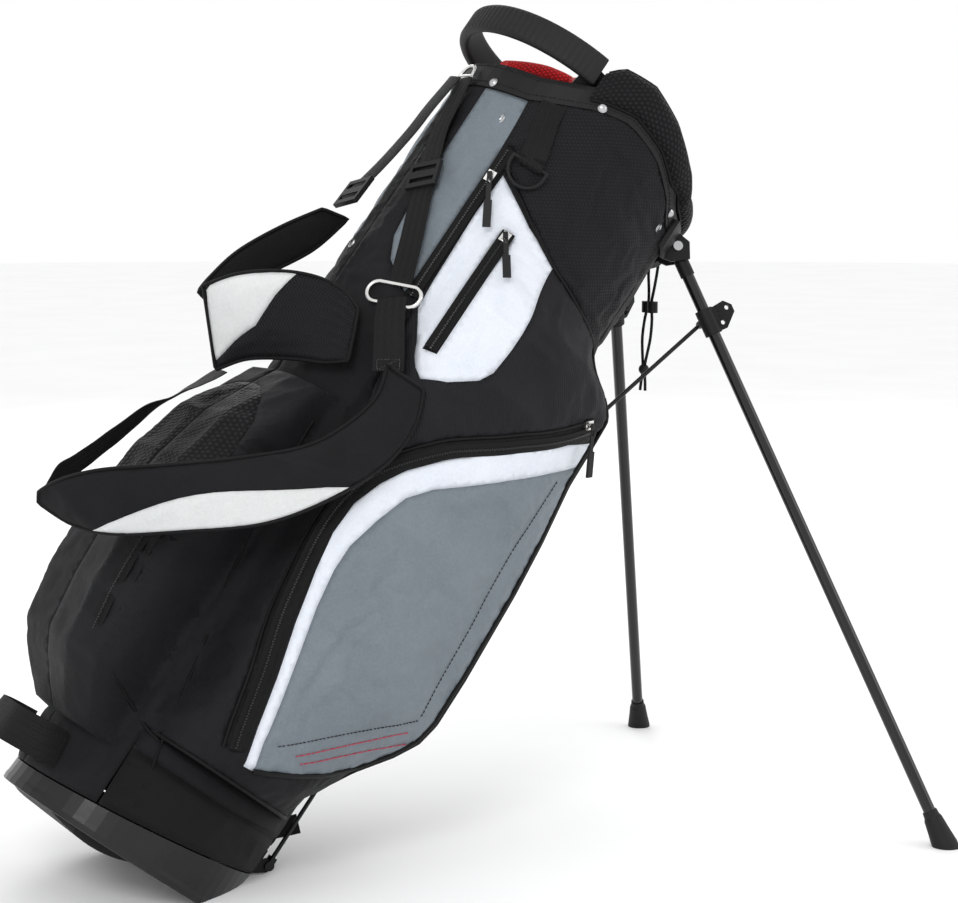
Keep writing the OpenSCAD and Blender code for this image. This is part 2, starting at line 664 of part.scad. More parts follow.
far_path = spline([[-153, 8, 828], [-156, 11, 790], [-158, 14, 750], [-162, 20, 705], [-168, 32, 660]], 3);
band_up = spline([[-152, 36, 648], [-162, 42, 602], [-187, 45, 553], [-206, 36, 515], [-214, 24, 488]], 2);
band_low = spline([[-180, 38, 640], [-204, 42, 600], [-226, 45, 553], [-238, 36, 512], [-243, 26, 492]], 2);
module far_webbing() {
    color("#161617") in_bag() {
        strap(far_path, [for (p = far_path) [-1, 0, 0]], webbing_w, webbing_t);
        edged_pad(band_up, band_low, 7, 0.5);
    }
}
module far_buckle() {
    color("#1a1a1b") in_bag() translate([-166, 29, 672]) rotate([0, -82, 0]) rotate([0, 0, 90])
        rotate([0, 0, 14]) three_bar(38, 34, 5);
}
far_pad_up = [[-247, 12, 497], [-233, -12, 523], [-203, -28, 549], [-170, -38, 565], [-145, -50, 566],
    [-131, -68, 558]];
far_pad_low = [[-188, 10, 438], [-178, -13, 460], [-159, -34, 477], [-143, -56, 488], [-132, -73, 494],
    [-120, -92, 506]];
module far_pad() {
    color("#e8ecef") in_bag() edged_pad(spline(far_pad_up, 3), spline(far_pad_low, 3), 12, 0.45);
}
back_path = spline([[-286, -60, 236], [-282, -48, 253], [-268, -32, 274], [-240, 2, 321],
    [-216, 30, 366], [-196, 38, 400], [-182, 40, 424], [-171, 40, 446]], 3);
module back_strap() {
    color("#151516") in_bag() strap(back_path, [for (p = back_path) unit([-0.8, 0, -0.55])], 30, webbing_t);
}

// ---------- legs ----------
// Leg frame: the deployed leg runs down -z from its hinge
module at_leg(s) {
    at_hinge(s) rotate([0, -leg_swing, 0]) children();
}
hinge_z = base_z + hinge_n * cos(tilt) - hinge_u * sin(tilt);
leg_drop = sin(leg_swing) * cos(leg_splay) * sin(tilt) + cos(leg_swing) * cos(tilt);
leg_len = hinge_z / leg_drop;
leg_r = leg_tube_d / 2;
link_y = 12;
rod_x = -7;
rod_y = 19;
rod_v = hinge_v + rod_x * sin(leg_splay) - rod_y * cos(leg_splay);
rod_u = hinge_u + rod_x * cos(leg_splay) + rod_y * sin(leg_splay);
link_low = -325;
// Link pin on the deployed leg, in the hinge frame
pin_x = -link_back * cos(leg_swing) + link_reach * sin(leg_swing);
pin_z = -link_back * sin(leg_swing) - link_reach * cos(leg_swing);
link_len = norm([pin_x - rod_x, pin_z - link_low]);
link_turn = atan2(pin_x - rod_x, pin_z - link_low);

module leg_tube(s) {
    color("#0d0d0e") in_bag() at_leg(s) translate([0, 0, -(leg_len - 12)]) difference() {
        cylinder(r = leg_r, h = leg_len - 24);
        translate([0, 0, -1]) cylinder(r = leg_r - leg_tube_wall, h = leg_len);
    }
}
module leg_head(s) {
    color("#1a1a1c") in_bag() at_leg(s) difference() {
        union() {
            rotate([90, 0, 0]) cylinder(r = head_r, h = 15.6, center = true);
            translate([0, 0, -32]) cylinder(r = 7.6, h = 30);
        }
        rotate([90, 0, 0]) cylinder(d = 5.2, h = 20, center = true);
        translate([0, 0, -40]) cylinder(r = leg_r, h = 28);
    }
}
module leg_clip(s) {
    color("#1a1a1c") in_bag() at_leg(s) {
        difference() {
            union() {
                translate([0, 0, -99]) cylinder(r = 9.3, h = 28);
                translate([-link_back, -s * 9.6, -link_reach]) rotate([s * -90, 0, 0])
                    cylinder(r = 4.4, h = 9.6);
                clip_ear();
            }
            translate([0, 0, -110]) cylinder(r = leg_r, h = 50);
        }
        translate([-link_back, -s * 7.6, -link_reach]) rotate([s * 90, 0, 0]) {
            cylinder(d = 3, h = 7.6);
            translate([0, 0, 6.4]) cylinder(d = 6, h = 1.4);
        }
    }
}
// Ribbed ear on the leg's outer side, with two holes
module clip_ear() {
    difference() {
        union() {
            translate([7, -2, -98]) cube([8, 4, 26]);
            rotate([90, 0, 0]) linear_extrude(4, center = true)
                polygon([[7, -98], [7, -72], [23, -70], [30, -77], [30, -85], [16, -98]]);
            for (z = [-94:5:-74]) translate([13, -3, z]) cube([6, 6, 2]);
        }
        for (p = [[24, -78], [14, -91]]) translate([p[0], 0, p[1]]) rotate([90, 0, 0])
            cylinder(d = 5, h = 12, center = true);
    }
}
module leg_boot(s) {
    color("#141416") in_bag() difference() {
        at_leg(s) rotate_extrude($fn = 64) polygon([[leg_r, -(leg_len - 40)], [7.6, -(leg_len - 40)],
            [8.2, -(leg_len - 34)], [9.6, -(leg_len - 31)], [11.4, -(leg_len - 16)], [13.4, -(leg_len - 2)],
            [13.4, -(leg_len + 12)], [0, -(leg_len + 12)], [0, -(leg_len - 12)], [leg_r, -(leg_len - 12)]]);
        rotate([0, -tilt, 0]) translate([0, -500, -base_z - 60]) cube([1400, 1000, 60]);
    }
}
module near_leg_tube() { leg_tube(-1); }
module near_leg_head() { leg_head(-1); }
module near_leg_clip() { leg_clip(-1); }
module near_leg_boot() { leg_boot(-1); }
module far_leg_tube() { leg_tube(1); }
module far_leg_head() { leg_head(1); }
module far_leg_clip() { leg_clip(1); }
module far_leg_boot() { leg_boot(1); }

// ---------- push rods, links and rocker ----------
lug_n = 66;
lug_pin_d = 3.2;
module push_rod(s) {
    color("#2a2a2c") in_bag() {
        translate([rod_u, s * rod_v, lug_n + 6])
            cylinder(d = rod_d, h = hinge_n + link_low - 17 - lug_n - 6);
        // Fork that straddles the rocker's arm
        translate([rod_u, s * rod_v, lug_n]) {
            for (e = [-1, 1]) translate([0, e * 3.7, 0]) rotate([90, 0, 0])
                cylinder(r = 5, h = 2.2, center = true);
            for (e = [-1, 1]) translate([-3, e * 3.7 - 1.1, 0]) cube([6, 2.2, 9]);
            translate([-3, -4.8, 6.5]) cube([6, 9.6, 3]);
            rotate([90, 0, 0]) cylinder(d = lug_pin_d, h = 9, center = true);
        }
        // Slotted plate that carries the link's lower pin
        at_hinge(s) translate([rod_x, -s * rod_y, link_low]) difference() {
            translate([-4.4, -1.5, -19]) cube([13.4, 3, 24]);
            translate([-2.2, -3, -14]) cube([8.8, 6, 16.2]);
        }
    }
}
module leg_link(s) {
    color("#2a2a2c") in_bag() at_hinge(s) translate([pin_x, -s * link_y, pin_z]) rotate([0, link_turn, 0]) {
        difference() {
            union() {
                translate([0, 0, -link_len + 3]) cylinder(d = rod_d, h = link_len - 6);
                for (z = [0, -link_len]) translate([0, 0, z]) rotate([90, 0, 0])
                    cylinder(r = 4.2, h = 3, center = true);
            }
            rotate([90, 0, 0]) cylinder(d = 3.3, h = 10, center = true);
            for (e = [-1, 1]) translate([-5, e * 3 - 1.5, -6]) cube([10, 3, 12]);
        }
        translate([0, 0, -link_len]) rotate([s * 90, 0, 0]) {
            cylinder(d = 3, h = 9.6);
            translate([0, 0, 8.9]) cylinder(d = 5.6, h = 1.2);
        }
    }
}
module near_push_rod() { push_rod(-1); }
module far_push_rod() { push_rod(1); }
module near_link() { leg_link(-1); }
module far_link() { leg_link(1); }

// Foot plate that the ground pushes up when the bag leans; it lifts both rods
module rocker_plate() {
    color("#1b1b1d") in_bag() {
        intersection() {
            rotate([90, 0, 0]) linear_extrude(190, center = true)
                polygon([[20, 8.3], [115, 45.2], [115, 49.4], [20, 12.5]]);
            base_slab(-cup_wall - 3, 0, 60);
        }
        for (s = [-1, 1]) {
            translate([0, s * 54, 0]) rotate([90, 0, 0]) difference() {
                linear_extrude(6, center = true)
                    polygon([[20, 9], [48, 20], [44, 26], [17, 50], [8, 53], [1, 50], [0, 43], [8, 34]]);
                translate([rocker_u, rocker_n]) cylinder(d = rocker_pin_d + 0.2, h = 10, center = true);
            }
            translate([0, s * rod_v, 0]) rotate([90, 0, 0]) difference() {
                linear_extrude(4, center = true)
                    polygon([[88, 36], [106, 43], [133, 59], [136.4, 66], [133, 71], [126, 71], [100, 46]]);
                translate([0, 0, -3]) linear_extrude(6) polygon([[rod_u - 4.3, lug_n - 2.1],
                    [rod_u + 2.4, lug_n - 2.1], [rod_u + 2.4, lug_n + 2.1], [rod_u - 4.3, lug_n + 2.1]]);
            }
        }
    }
}

// ---------- elastic cord of the hinge bracket ----------
cord_d = 3.2;
cord_points = [[138, 9, 812], [147, 8, 800], [157, 5, 788], [166, 3, 776], [176, 7, 763],
    [188, 8, 747], [198, 5, 734], [206, 2.2, 724], [213, 2.4, 715], [218, 4, 708], [223, 5, 701]];
// Middle line of the cord, drifting towards the bag's middle
function cord_mid(u) = lookup(u, [[138, -24], [166, -16], [206, -5], [230, -3]]);
module cord_strand(s) {
    color("#101011") in_bag()
        round_cord(spline([for (p = cord_points) [p[0], cord_mid(p[0]) + s * p[1], p[2]]], 3), cord_d);
}
module near_cord() { cord_strand(-1); }
module far_cord() { cord_strand(1); }
module cord_lock() {
    color("#151516") in_bag() translate([168.5, cord_mid(168), 773]) rotate([0, 180 - tilt, 0]) {
        for (s = [-1, 1]) translate([0, s * 5.4, -6]) cylinder(r = 5.6, h = 12);
        translate([-3, -6, -5]) cube([6, 12, 10]);
    }
}
module cord_knot() {
    color("#0c0c0d") in_bag() translate([209.5, cord_mid(209), 719.5]) sphere(r = 5.6, $fn = 32);
}

base_cup();
base_pad();
pivot_pins();
body_shell();
side_stays();
collar_frame();
collar_cuff();
top_handle();
collar_rivets();
divider_panels();
divider_pad();
leg_bracket();
near_garment_pocket();
far_garment_pocket();
near_ball_pocket();
far_ball_pocket();
lower_spine_pocket();
upper_spine_pocket();
garment_zip();
panel_zip();
ball_zip();
carry_handle();
towel_loop();
leg_strap();
snap_studs();
top_ring();
near_webbing();
near_buckle();
junction_ring();
lower_webbing();
near_pad();
far_webbing();
far_buckle();
far_pad();
back_strap();
towel_ring();
garment_slider();
garment_puller();
panel_slider();
panel_puller();
ball_slider();
ball_puller();
near_leg_tube();
near_leg_head();
near_leg_clip();
near_leg_boot();
far_leg_tube();
far_leg_head();
far_leg_clip();
far_leg_boot();
near_push_rod();
far_push_rod();
near_link();
far_link();
rocker_plate();
near_cord();
far_cord();
cord_lock();
cord_knot();
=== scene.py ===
import bisect
import math
import bpy
import numpy as np
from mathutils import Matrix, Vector, geometry, noise


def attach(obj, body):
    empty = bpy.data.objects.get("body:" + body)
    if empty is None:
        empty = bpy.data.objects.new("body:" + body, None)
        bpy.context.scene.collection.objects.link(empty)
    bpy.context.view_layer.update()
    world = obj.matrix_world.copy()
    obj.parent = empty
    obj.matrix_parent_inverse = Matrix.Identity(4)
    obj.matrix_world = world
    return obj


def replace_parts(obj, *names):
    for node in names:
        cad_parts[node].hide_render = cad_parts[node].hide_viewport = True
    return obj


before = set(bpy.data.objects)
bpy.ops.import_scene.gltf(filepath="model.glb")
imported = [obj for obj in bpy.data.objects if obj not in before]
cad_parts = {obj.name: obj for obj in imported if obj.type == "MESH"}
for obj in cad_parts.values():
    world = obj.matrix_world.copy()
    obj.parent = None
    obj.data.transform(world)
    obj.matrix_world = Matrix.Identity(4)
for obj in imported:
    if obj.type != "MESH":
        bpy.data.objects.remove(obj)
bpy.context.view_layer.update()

# ---------- the bag's own frame: millimetres, n up the bag's axis, u to the legs, v across ----------
TILT = math.radians(37.5)
COS, SIN = math.cos(TILT), math.sin(TILT)
BASE_X = -342.0
BASE_Z = 57.0 * SIN
MM = 0.001
FLOOR_CLEAR = 0.0006
FLAT = 2.6            # millimetres of skin for one degree round the bag
BODY_LEN = 850.0


def at(p):
    """A point of the bag frame, in metres in the row frame, kept just off the floor."""
    u, v, n = p
    z = (BASE_Z + n * COS - u * SIN) * MM
    return Vector(((BASE_X + u * COS + n * SIN) * MM, v * MM, max(z, FLOOR_CLEAR)))


def mix(a, b, t):
    """The value a share t of the way from a to b."""
    return a + (b - a) * t


def clamp(t):
    return min(1.0, max(0.0, t))


def smooth(t):
    """An S curve from 0 to 1."""
    t = clamp(t)
    return t * t * (3 - 2 * t)


def lookup(x, table):
    """Straight-line reading of a table of (key, value)."""
    keys = [k for k, _ in table]
    i = bisect.bisect_right(keys, x)
    if i == 0:
        return table[0][1]
    if i == len(table):
        return table[-1][1]
    (a, p), (b, q) = table[i - 1], table[i]
    return p + (q - p) * (x - a) / (b - a)


def turn(a):
    """How far round from the leg side an angle is, 0 to 180."""
    b = abs(a) % 360
    return 360 - b if b > 180 else b


def dir2(a):
    """Cosine and sine of an angle in degrees."""
    return math.cos(math.radians(a)), math.sin(math.radians(a))


# ---------- surfaces of the bag, as in the model ----------
def body_radius(a, n):
    """Radius of the bag's tube at angle a and height n."""
    c, s = dir2(a)
    rise = clamp(n / (0.7 * BODY_LEN))
    depth = mix(129, 135, rise) if c > 0 else mix(129, 141, rise)
    side = mix(114, 125, n / BODY_LEN)
    return 1 / math.sqrt((c / depth) ** 2 + (s / side) ** 2)


LOW_RIM = [(0, 815), (50, 822), (60, 838), (80, 858), (100, 866), (115, 858), (130, 842), (145, 829),
           (180, 825)]
RIM_TALL = [(0, 24), (60, 24), (115, 26), (180, 30)]
BULGE_TOP = [(34, 690), (60, 700), (93, 706), (115, 735), (137, 757)]
SIDE_DEPTH = [(112, 26), (135, 40), (170, 45), (480, 45), (560, 42), (620, 34), (680, 14), (706, 1)]
FRONT_EDGE = [(112, 124), (140, 129), (187, 157), (220, 182), (244, 196), (268, 201), (320, 201),
              (418, 197),
              (479, 192), (543, 184), (593, 183), (619, 182), (645, 173), (661, 160), (679, 142),
              (694, 136),
              (710, 136)]
SPINE_DEPTH = [(80, 3), (100, 22), (123, 41), (143, 53), (200, 61), (240, 63), (300, 62), (340, 56),
               (400, 40),
               (450, 14), (470, 3)]
POCKET_FRONT, POCKET_BACK, POCKET_FLOOR = 36.0, 132.0, 112.0
SPINE_HALF = 40.0


def collar_low(a):
    return lookup(turn(a), LOW_RIM)


def collar_high(a):
    return collar_low(a) + lookup(turn(a), RIM_TALL)


def cup_top(a):
    return 37 + 0.113 * dir2(a)[0] * body_radius(a, 30)


def bulge_top(a):
    return lookup(turn(a), BULGE_TOP)


def bulge_out(a, n):
    """Radius of the side pockets' outer face."""
    body = body_radius(a, n)
    s = clamp((90 - turn(a)) / (90 - POCKET_FRONT))
    back = smooth((POCKET_BACK - turn(a)) / 24)
    depth = lookup(n, SIDE_DEPTH)
    side = body_radius(90, n) + depth
    front = max(lookup(n, FRONT_EDGE), body_radius(POCKET_FRONT, n) + 1)
    wanted = mix(body + 1, body + depth, back) if turn(a) > 90 else mix(side, front, s ** 1.6)
    fade = smooth((bulge_top(a) - n) / 70) if n > 600 else 1
    return mix(body + 1, max(wanted, body + 1), fade)


def spine_out(a, n):
    """Radius of the spine pockets' outer face."""
    off = abs(180 - (a % 360))
    flat = (141 if n > 595 else mix(129, 141, n / 595)) + lookup(n, SPINE_DEPTH)
    square = min(flat / math.cos(math.radians(min(off, 30))), flat * 1.05)
    return mix(body_radius(a, n) + 1.2, square, smooth((SPINE_HALF - off) / 9))


def skin_radius(a, n):
    """Radius of whatever the skin lies on there."""
    body = body_radius(a, n)
    out = body
    t = turn(a)
    if POCKET_FRONT <= t <= 137 and POCKET_FLOOR <= n <= bulge_top(a):
        out = bulge_out(a, n)
    if t >= 180 - SPINE_HALF and 80 <= n <= 470:
        out = max(out, spine_out(a, n))
    return body + (out - body) * smooth((out - body) / 3)


def on_body(a, n, out=0.0):
    c, s = dir2(a)
    r = body_radius(a, n) + out
    return c * r, s * r, n


def on_skin(a, n, out=0.0):
    c, s = dir2(a)
    r = skin_radius(a, n) + out
    return c * r, s * r, n


# ---------- node materials ----------
class Graph:
    """Short names for building a node material."""

    def __init__(self, name):
        self.mat = bpy.data.materials.new(name)
        self.mat.use_nodes = True
        self.tree = self.mat.node_tree
        self.bsdf = self.tree.nodes["Principled BSDF"]

    def node(self, kind, **values):
        n = self.tree.nodes.new(kind)
        for key, value in values.items():
            setattr(n, key, value)
        return n

    def link(self, out, socket):
        self.tree.links.new(out, socket)

    def math(self, op, a, b=None):
        n = self.node("ShaderNodeMath", operation=op)
        for i, x in enumerate((a, b)):
            if x is None:
                continue
            if isinstance(x, (int, float)):
                n.inputs[i].default_value = x
            else:
                self.link(x, n.inputs[i])
        return n.outputs[0]

    def flat_coords(self):
        """The two coordinates of the cloth, in metres."""
        sep = self.node("ShaderNodeSeparateXYZ")
        self.link(self.node("ShaderNodeTexCoord").outputs["UV"], sep.inputs[0])
        return sep.outputs[0], sep.outputs[1]

    def noise(self, vector, scale, detail=3.0, rough=0.55):
        n = self.node("ShaderNodeTexNoise")
        n.inputs["Scale"].default_value = scale
        n.inputs["Detail"].default_value = detail
        n.inputs["Roughness"].default_value = rough
        self.link(vector, n.inputs["Vector"])
        return n.outputs["Fac"]

    def ramp(self, fac, stops):
        n = self.node("ShaderNodeValToRGB")
        while len(n.color_ramp.elements) < len(stops):
            n.color_ramp.elements.new(0.5)
        for e, (pos, col) in zip(n.color_ramp.elements, stops):
            e.position = pos
            e.color = (*col, 1)
        self.link(fac, n.inputs[0])
        return n.outputs[0]

    def wave(self, x, pitch):
        return self.math("SINE", self.math("MULTIPLY", x, 2 * math.pi / pitch))

    def bump(self, height, distance):
        n = self.node("ShaderNodeBump")
        n.inputs["Distance"].default_value = distance
        n.inputs["Strength"].default_value = 1.0
        self.link(height, n.inputs["Height"])
        self.link(n.outputs[0], self.bsdf.inputs["Normal"])

    def mapped(self, value, low, high):
        n = self.node("ShaderNodeMapRange")
        n.inputs["To Min"].default_value = low
        n.inputs["To Max"].default_value = high
        self.link(value, n.inputs["Value"])
        return n.outputs[0]


def weave_height(g, kind, pitch, x, y):
    """Height of a fabric's surface, about -1 to 1, for the kind of weave."""
    if kind == "plain":
        return g.math("MULTIPLY", g.wave(x, pitch), g.wave(y, pitch))
    if kind == "rib":
        return g.math("MULTIPLY", g.wave(x, pitch), g.mapped(g.wave(y, pitch * 0.8), 0.7, 1.0))
    if kind == "webbing":
        slant = g.math("ADD", x, g.math("MULTIPLY", g.math("ABSOLUTE", g.wave(y, pitch * 6)), pitch))
        return g.math("MULTIPLY", g.wave(slant, pitch), g.mapped(g.wave(y, pitch * 1.5), 0.5, 1.0))
    if kind == "chevron":
        saw = g.math("PINGPONG", y, pitch * 2.0)
        return g.wave(g.math("ADD", x, g.math("MULTIPLY", saw, 0.6)), pitch)
    # hexagonal mesh
    half = g.math("MULTIPLY", x, 0.5)
    tall = g.math("MULTIPLY", y, 0.866)
    waves = [g.math("COSINE", g.math("MULTIPLY", v, 2 * math.pi / pitch))
             for v in (x, g.math("ADD", half, tall), g.math("SUBTRACT", half, tall))]
    return g.math("MULTIPLY", g.math("ADD", g.math("ADD", waves[0], waves[1]), waves[2]), 0.5)


def fabric(name, dark, light, kind="plain", pitch=0.0016, rough=(0.55, 0.75), depth=0.00035, sheen=0.25,
           holes=None, slant=0.0, crease=0.0, specular=0.16):
    """Woven cloth: colour drifts between dark and light, threads in the bump, soft creases on top."""
    g = Graph(name)
    x, y = g.flat_coords()
    if slant:
        c, s = dir2(slant)
        x, y = (g.math("ADD", g.math("MULTIPLY", x, c), g.math("MULTIPLY", y, s)),
                g.math("SUBTRACT", g.math("MULTIPLY", y, c), g.math("MULTIPLY", x, s)))
    height = weave_height(g, kind, pitch, x, y)
    obj = g.node("ShaderNodeTexCoord").outputs["Object"]
    cloud = g.noise(obj, 14.0, 4.0)
    fine = g.noise(obj, 420.0, 2.0)
    fac = g.math("ADD", g.math("MULTIPLY", cloud, 0.5), g.math("MULTIPLY", fine, 0.5))
    colour = g.ramp(fac, [(0.3, dark), (0.7, light)])
    if holes is not None:
        mixer = g.node("ShaderNodeMix", data_type="RGBA")
        mixer.inputs["A"].default_value = (*holes, 1)
        g.link(g.mapped(height, 0.0, 1.0), mixer.inputs["Factor"])
        g.link(colour, mixer.inputs["B"])
        colour = mixer.outputs["Result"]
    g.link(colour, g.bsdf.inputs["Base Color"])
    g.link(g.mapped(fine, *rough), g.bsdf.inputs["Roughness"])
    g.bsdf.inputs["Sheen Weight"].default_value = sheen * 0.25
    g.bsdf.inputs["Sheen Roughness"].default_value = 0.35
    g.bsdf.inputs["Specular IOR Level"].default_value = specular
    total = g.math("ADD", g.math("MULTIPLY", height, 0.5), g.math("MULTIPLY", g.noise(obj, 60.0, 4.0), 1.6))
    if crease:
        for size, share in ((11.0, 1.0), (23.0, 0.45)):
            fold = g.math("ABSOLUTE", g.math("SUBTRACT", g.noise(obj, size, 2.0), 0.5))
            total = g.math("ADD", total, g.math("MULTIPLY", fold, crease * share))
    g.bump(total, depth)
    return g.mat


def moulded(name, dark, light, rough=(0.35, 0.5), grain=900.0, depth=0.00012, metal=0.0, coat=0.0,
            scuff=0.0,
            specular=0.5):
    """Moulded, painted or plated part: fine grain, cloudy roughness and, where asked, light scuffs."""
    g = Graph(name)
    obj = g.node("ShaderNodeTexCoord").outputs["Object"]
    cloud = g.noise(obj, 9.0, 3.0)
    fine = g.noise(obj, grain, 3.0)
    colour = g.ramp(cloud, [(0.3, dark), (0.75, light)])
    if scuff:
        streak = g.node("ShaderNodeMapping")
        streak.inputs["Scale"].default_value = (6.0, 40.0, 160.0)
        g.link(obj, streak.inputs["Vector"])
        marks = g.noise(streak.outputs[0], 3.0, 5.0, 0.7)
        mixer = g.node("ShaderNodeMix", data_type="RGBA")
        mixer.inputs["B"].default_value = (*[mix(c, 0.4, 0.25) for c in light], 1)
        g.link(g.math("MULTIPLY", g.math("GREATER_THAN", marks, 0.68), scuff), mixer.inputs["Factor"])
        g.link(colour, mixer.inputs["A"])
        colour = mixer.outputs["Result"]
    g.link(colour, g.bsdf.inputs["Base Color"])
    g.link(g.mapped(g.math("ADD", g.math("MULTIPLY", cloud, 0.7), g.math("MULTIPLY", fine, 0.3)), *rough),
           g.bsdf.inputs["Roughness"])
    g.bsdf.inputs["Metallic"].default_value = metal
    g.bsdf.inputs["Coat Weight"].default_value = coat
    g.bsdf.inputs["Coat Roughness"].default_value = 0.12
    g.bsdf.inputs["Specular IOR Level"].default_value = specular
    g.bump(fine, depth)
    return g.mat


BLACK = (0.0045, 0.0045, 0.0052)
BLACK_HI = (0.0105, 0.0105, 0.0125)
M = {
    "nylon": fabric("black_nylon", BLACK, BLACK_HI, "plain", 0.0016, sheen=0.12, depth=0.0003, crease=16.0),
    "gusset": fabric("black_gusset", (0.0035, 0.0035, 0.0038), (0.0075, 0.0075, 0.008), "plain", 0.0016,
                     sheen=0.08),
    "ribbed": fabric("ribbed_nylon", (0.006, 0.006, 0.0074), (0.0135, 0.0135, 0.017), "rib", 0.0026,
                     sheen=0.12,
                     depth=0.0004, slant=37.5),
    "honey": fabric("honeycomb_nylon", (0.0065, 0.0065, 0.0078), (0.0145, 0.0145, 0.018), "hex", 0.0036,
                    sheen=0.15,
                    depth=0.0004, holes=(0.005, 0.005, 0.006)),
    "mesh": fabric("black_mesh", (0.0075, 0.0075, 0.0088), (0.017, 0.017, 0.02), "hex", 0.0046, sheen=0.2,
                   depth=0.0008, holes=(0.002, 0.002, 0.0025)),
    "chevron": fabric("herringbone_mesh", (0.0075, 0.0075, 0.0092), (0.015, 0.015, 0.019), "chevron",
                      0.0034,
                      sheen=0.2, depth=0.0006, holes=(0.0045, 0.0045, 0.0052)),
    "white": fabric("white_nylon", (0.66, 0.7, 0.77), (0.77, 0.8, 0.86), "plain", 0.0013, sheen=0.1,
                    rough=(0.45, 0.6), depth=0.00028, crease=20.0, specular=0.35),
    "pad_white": fabric("white_pad_nylon", (0.66, 0.68, 0.68), (0.78, 0.79, 0.79), "plain", 0.0014,
                        sheen=0.1,
                        rough=(0.5, 0.65), depth=0.0004),
    "grey": fabric("grey_nylon", (0.135, 0.162, 0.186), (0.182, 0.214, 0.242), "plain", 0.0014, sheen=0.1,
                   rough=(0.38, 0.52), depth=0.00035, crease=26.0, specular=0.4),
    "red": fabric("red_mesh", (0.62, 0.008, 0.012), (0.8, 0.014, 0.018), "hex", 0.0038, sheen=0.3,
                  depth=0.0007,
                  holes=(0.3, 0.003, 0.005)),
    "webbing": fabric("webbing", (0.004, 0.004, 0.0044), (0.0095, 0.0095, 0.01), "webbing", 0.0024,
                      sheen=0.12,
                      depth=0.0006),
    "tape": fabric("zip_tape", (0.003, 0.003, 0.0034), (0.0065, 0.0065, 0.007), "rib", 0.0012, sheen=0.06,
                   depth=0.0003),
    "liner": fabric("liner", (0.02, 0.02, 0.022), (0.034, 0.034, 0.038), "plain", 0.002, sheen=0.1),
    "piping": fabric("piping", (0.0025, 0.0025, 0.0028), (0.0055, 0.0055, 0.006), "rib", 0.0014, sheen=0.05,
                     rough=(0.4, 0.55)),
    "cord": fabric("cord", (0.006, 0.006, 0.0065), (0.013, 0.013, 0.014), "chevron", 0.0011, sheen=0.1,
                   depth=0.0004),
    "thread": fabric("black_thread", (0.01, 0.01, 0.011), (0.02, 0.02, 0.022), "rib", 0.0006, depth=0.0001),
    "grey_thread": fabric("grey_thread", (0.05, 0.05, 0.055), (0.09, 0.09, 0.1), "rib", 0.0006,
                          depth=0.0001),
    "red_thread": fabric("red_thread", (0.36, 0.03, 0.06), (0.52, 0.05, 0.09), "rib", 0.0006, depth=0.0001),
    "teeth": moulded("zip_teeth", (0.01, 0.01, 0.011), (0.022, 0.022, 0.024), rough=(0.25, 0.4)),
    "gloss": moulded("gloss_black", (0.0065, 0.0065, 0.007), (0.013, 0.013, 0.014), rough=(0.22, 0.36),
                     grain=240.0, depth=0.00005, coat=0.12, scuff=0.06, specular=0.25),
    "matte": moulded("matte_black", (0.005, 0.005, 0.0055), (0.011, 0.011, 0.012), rough=(0.4, 0.58),
                     scuff=0.06,
                     specular=0.2),
    "leg": moulded("leg_paint", (0.004, 0.004, 0.0045), (0.0075, 0.0075, 0.008), rough=(0.14, 0.24),
                   grain=300.0,
                   depth=0.00003, coat=0.3, scuff=0.08, specular=0.3),
    "rod": moulded("rod_paint", (0.006, 0.006, 0.007), (0.013, 0.013, 0.014), rough=(0.25, 0.4), scuff=0.06,
                   specular=0.22),
    "rubber": moulded("rubber", (0.0045, 0.0045, 0.005), (0.0105, 0.0105, 0.011), rough=(0.5, 0.75),
                      grain=500.0,
                      depth=0.00025, specular=0.3),
    "silver": moulded("silver", (0.62, 0.61, 0.6), (0.8, 0.79, 0.78), rough=(0.16, 0.3), grain=200.0,
                      depth=0.00003, metal=1.0, scuff=0.3),
    "pin": moulded("steel_pin", (0.42, 0.42, 0.43), (0.6, 0.6, 0.61), rough=(0.28, 0.42), grain=200.0,
                   depth=0.00004, metal=1.0),
}


# ---------- camera, light and floor ----------
TARGET = Vector((0.0636, 0.0, 0.4002))
DISTANCE = 2.4305
AZIMUTH, ELEVATION = math.radians(-28.46), math.radians(7.11)


def add_camera():
    data = bpy.data.cameras.new("camera")
    data.lens = 87.88
    data.sensor_width = 36.0
    data.clip_end = 60.0
    cam = bpy.data.objects.new("camera", data)
    bpy.context.scene.collection.objects.link(cam)
    way = Vector((math.sin(AZIMUTH) * math.cos(ELEVATION), -math.cos(AZIMUTH) * math.cos(ELEVATION),
                  math.sin(ELEVATION)))
    cam.location = TARGET + way * DISTANCE
    cam.rotation_euler = (-way).to_track_quat("-Z", "Y").to_euler()
    bpy.context.scene.camera = cam


def area_light(name, place, size, power):
    data = bpy.data.lights.new(name, "AREA")
    data.shape = "DISK"
    data.size = size
    data.energy = power
    lamp = bpy.data.objects.new(name, data)
    bpy.context.scene.collection.objects.link(lamp)
    lamp.location = place
    lamp.rotation_euler = (TARGET - Vector(place)).to_track_quat("-Z", "Y").to_euler()


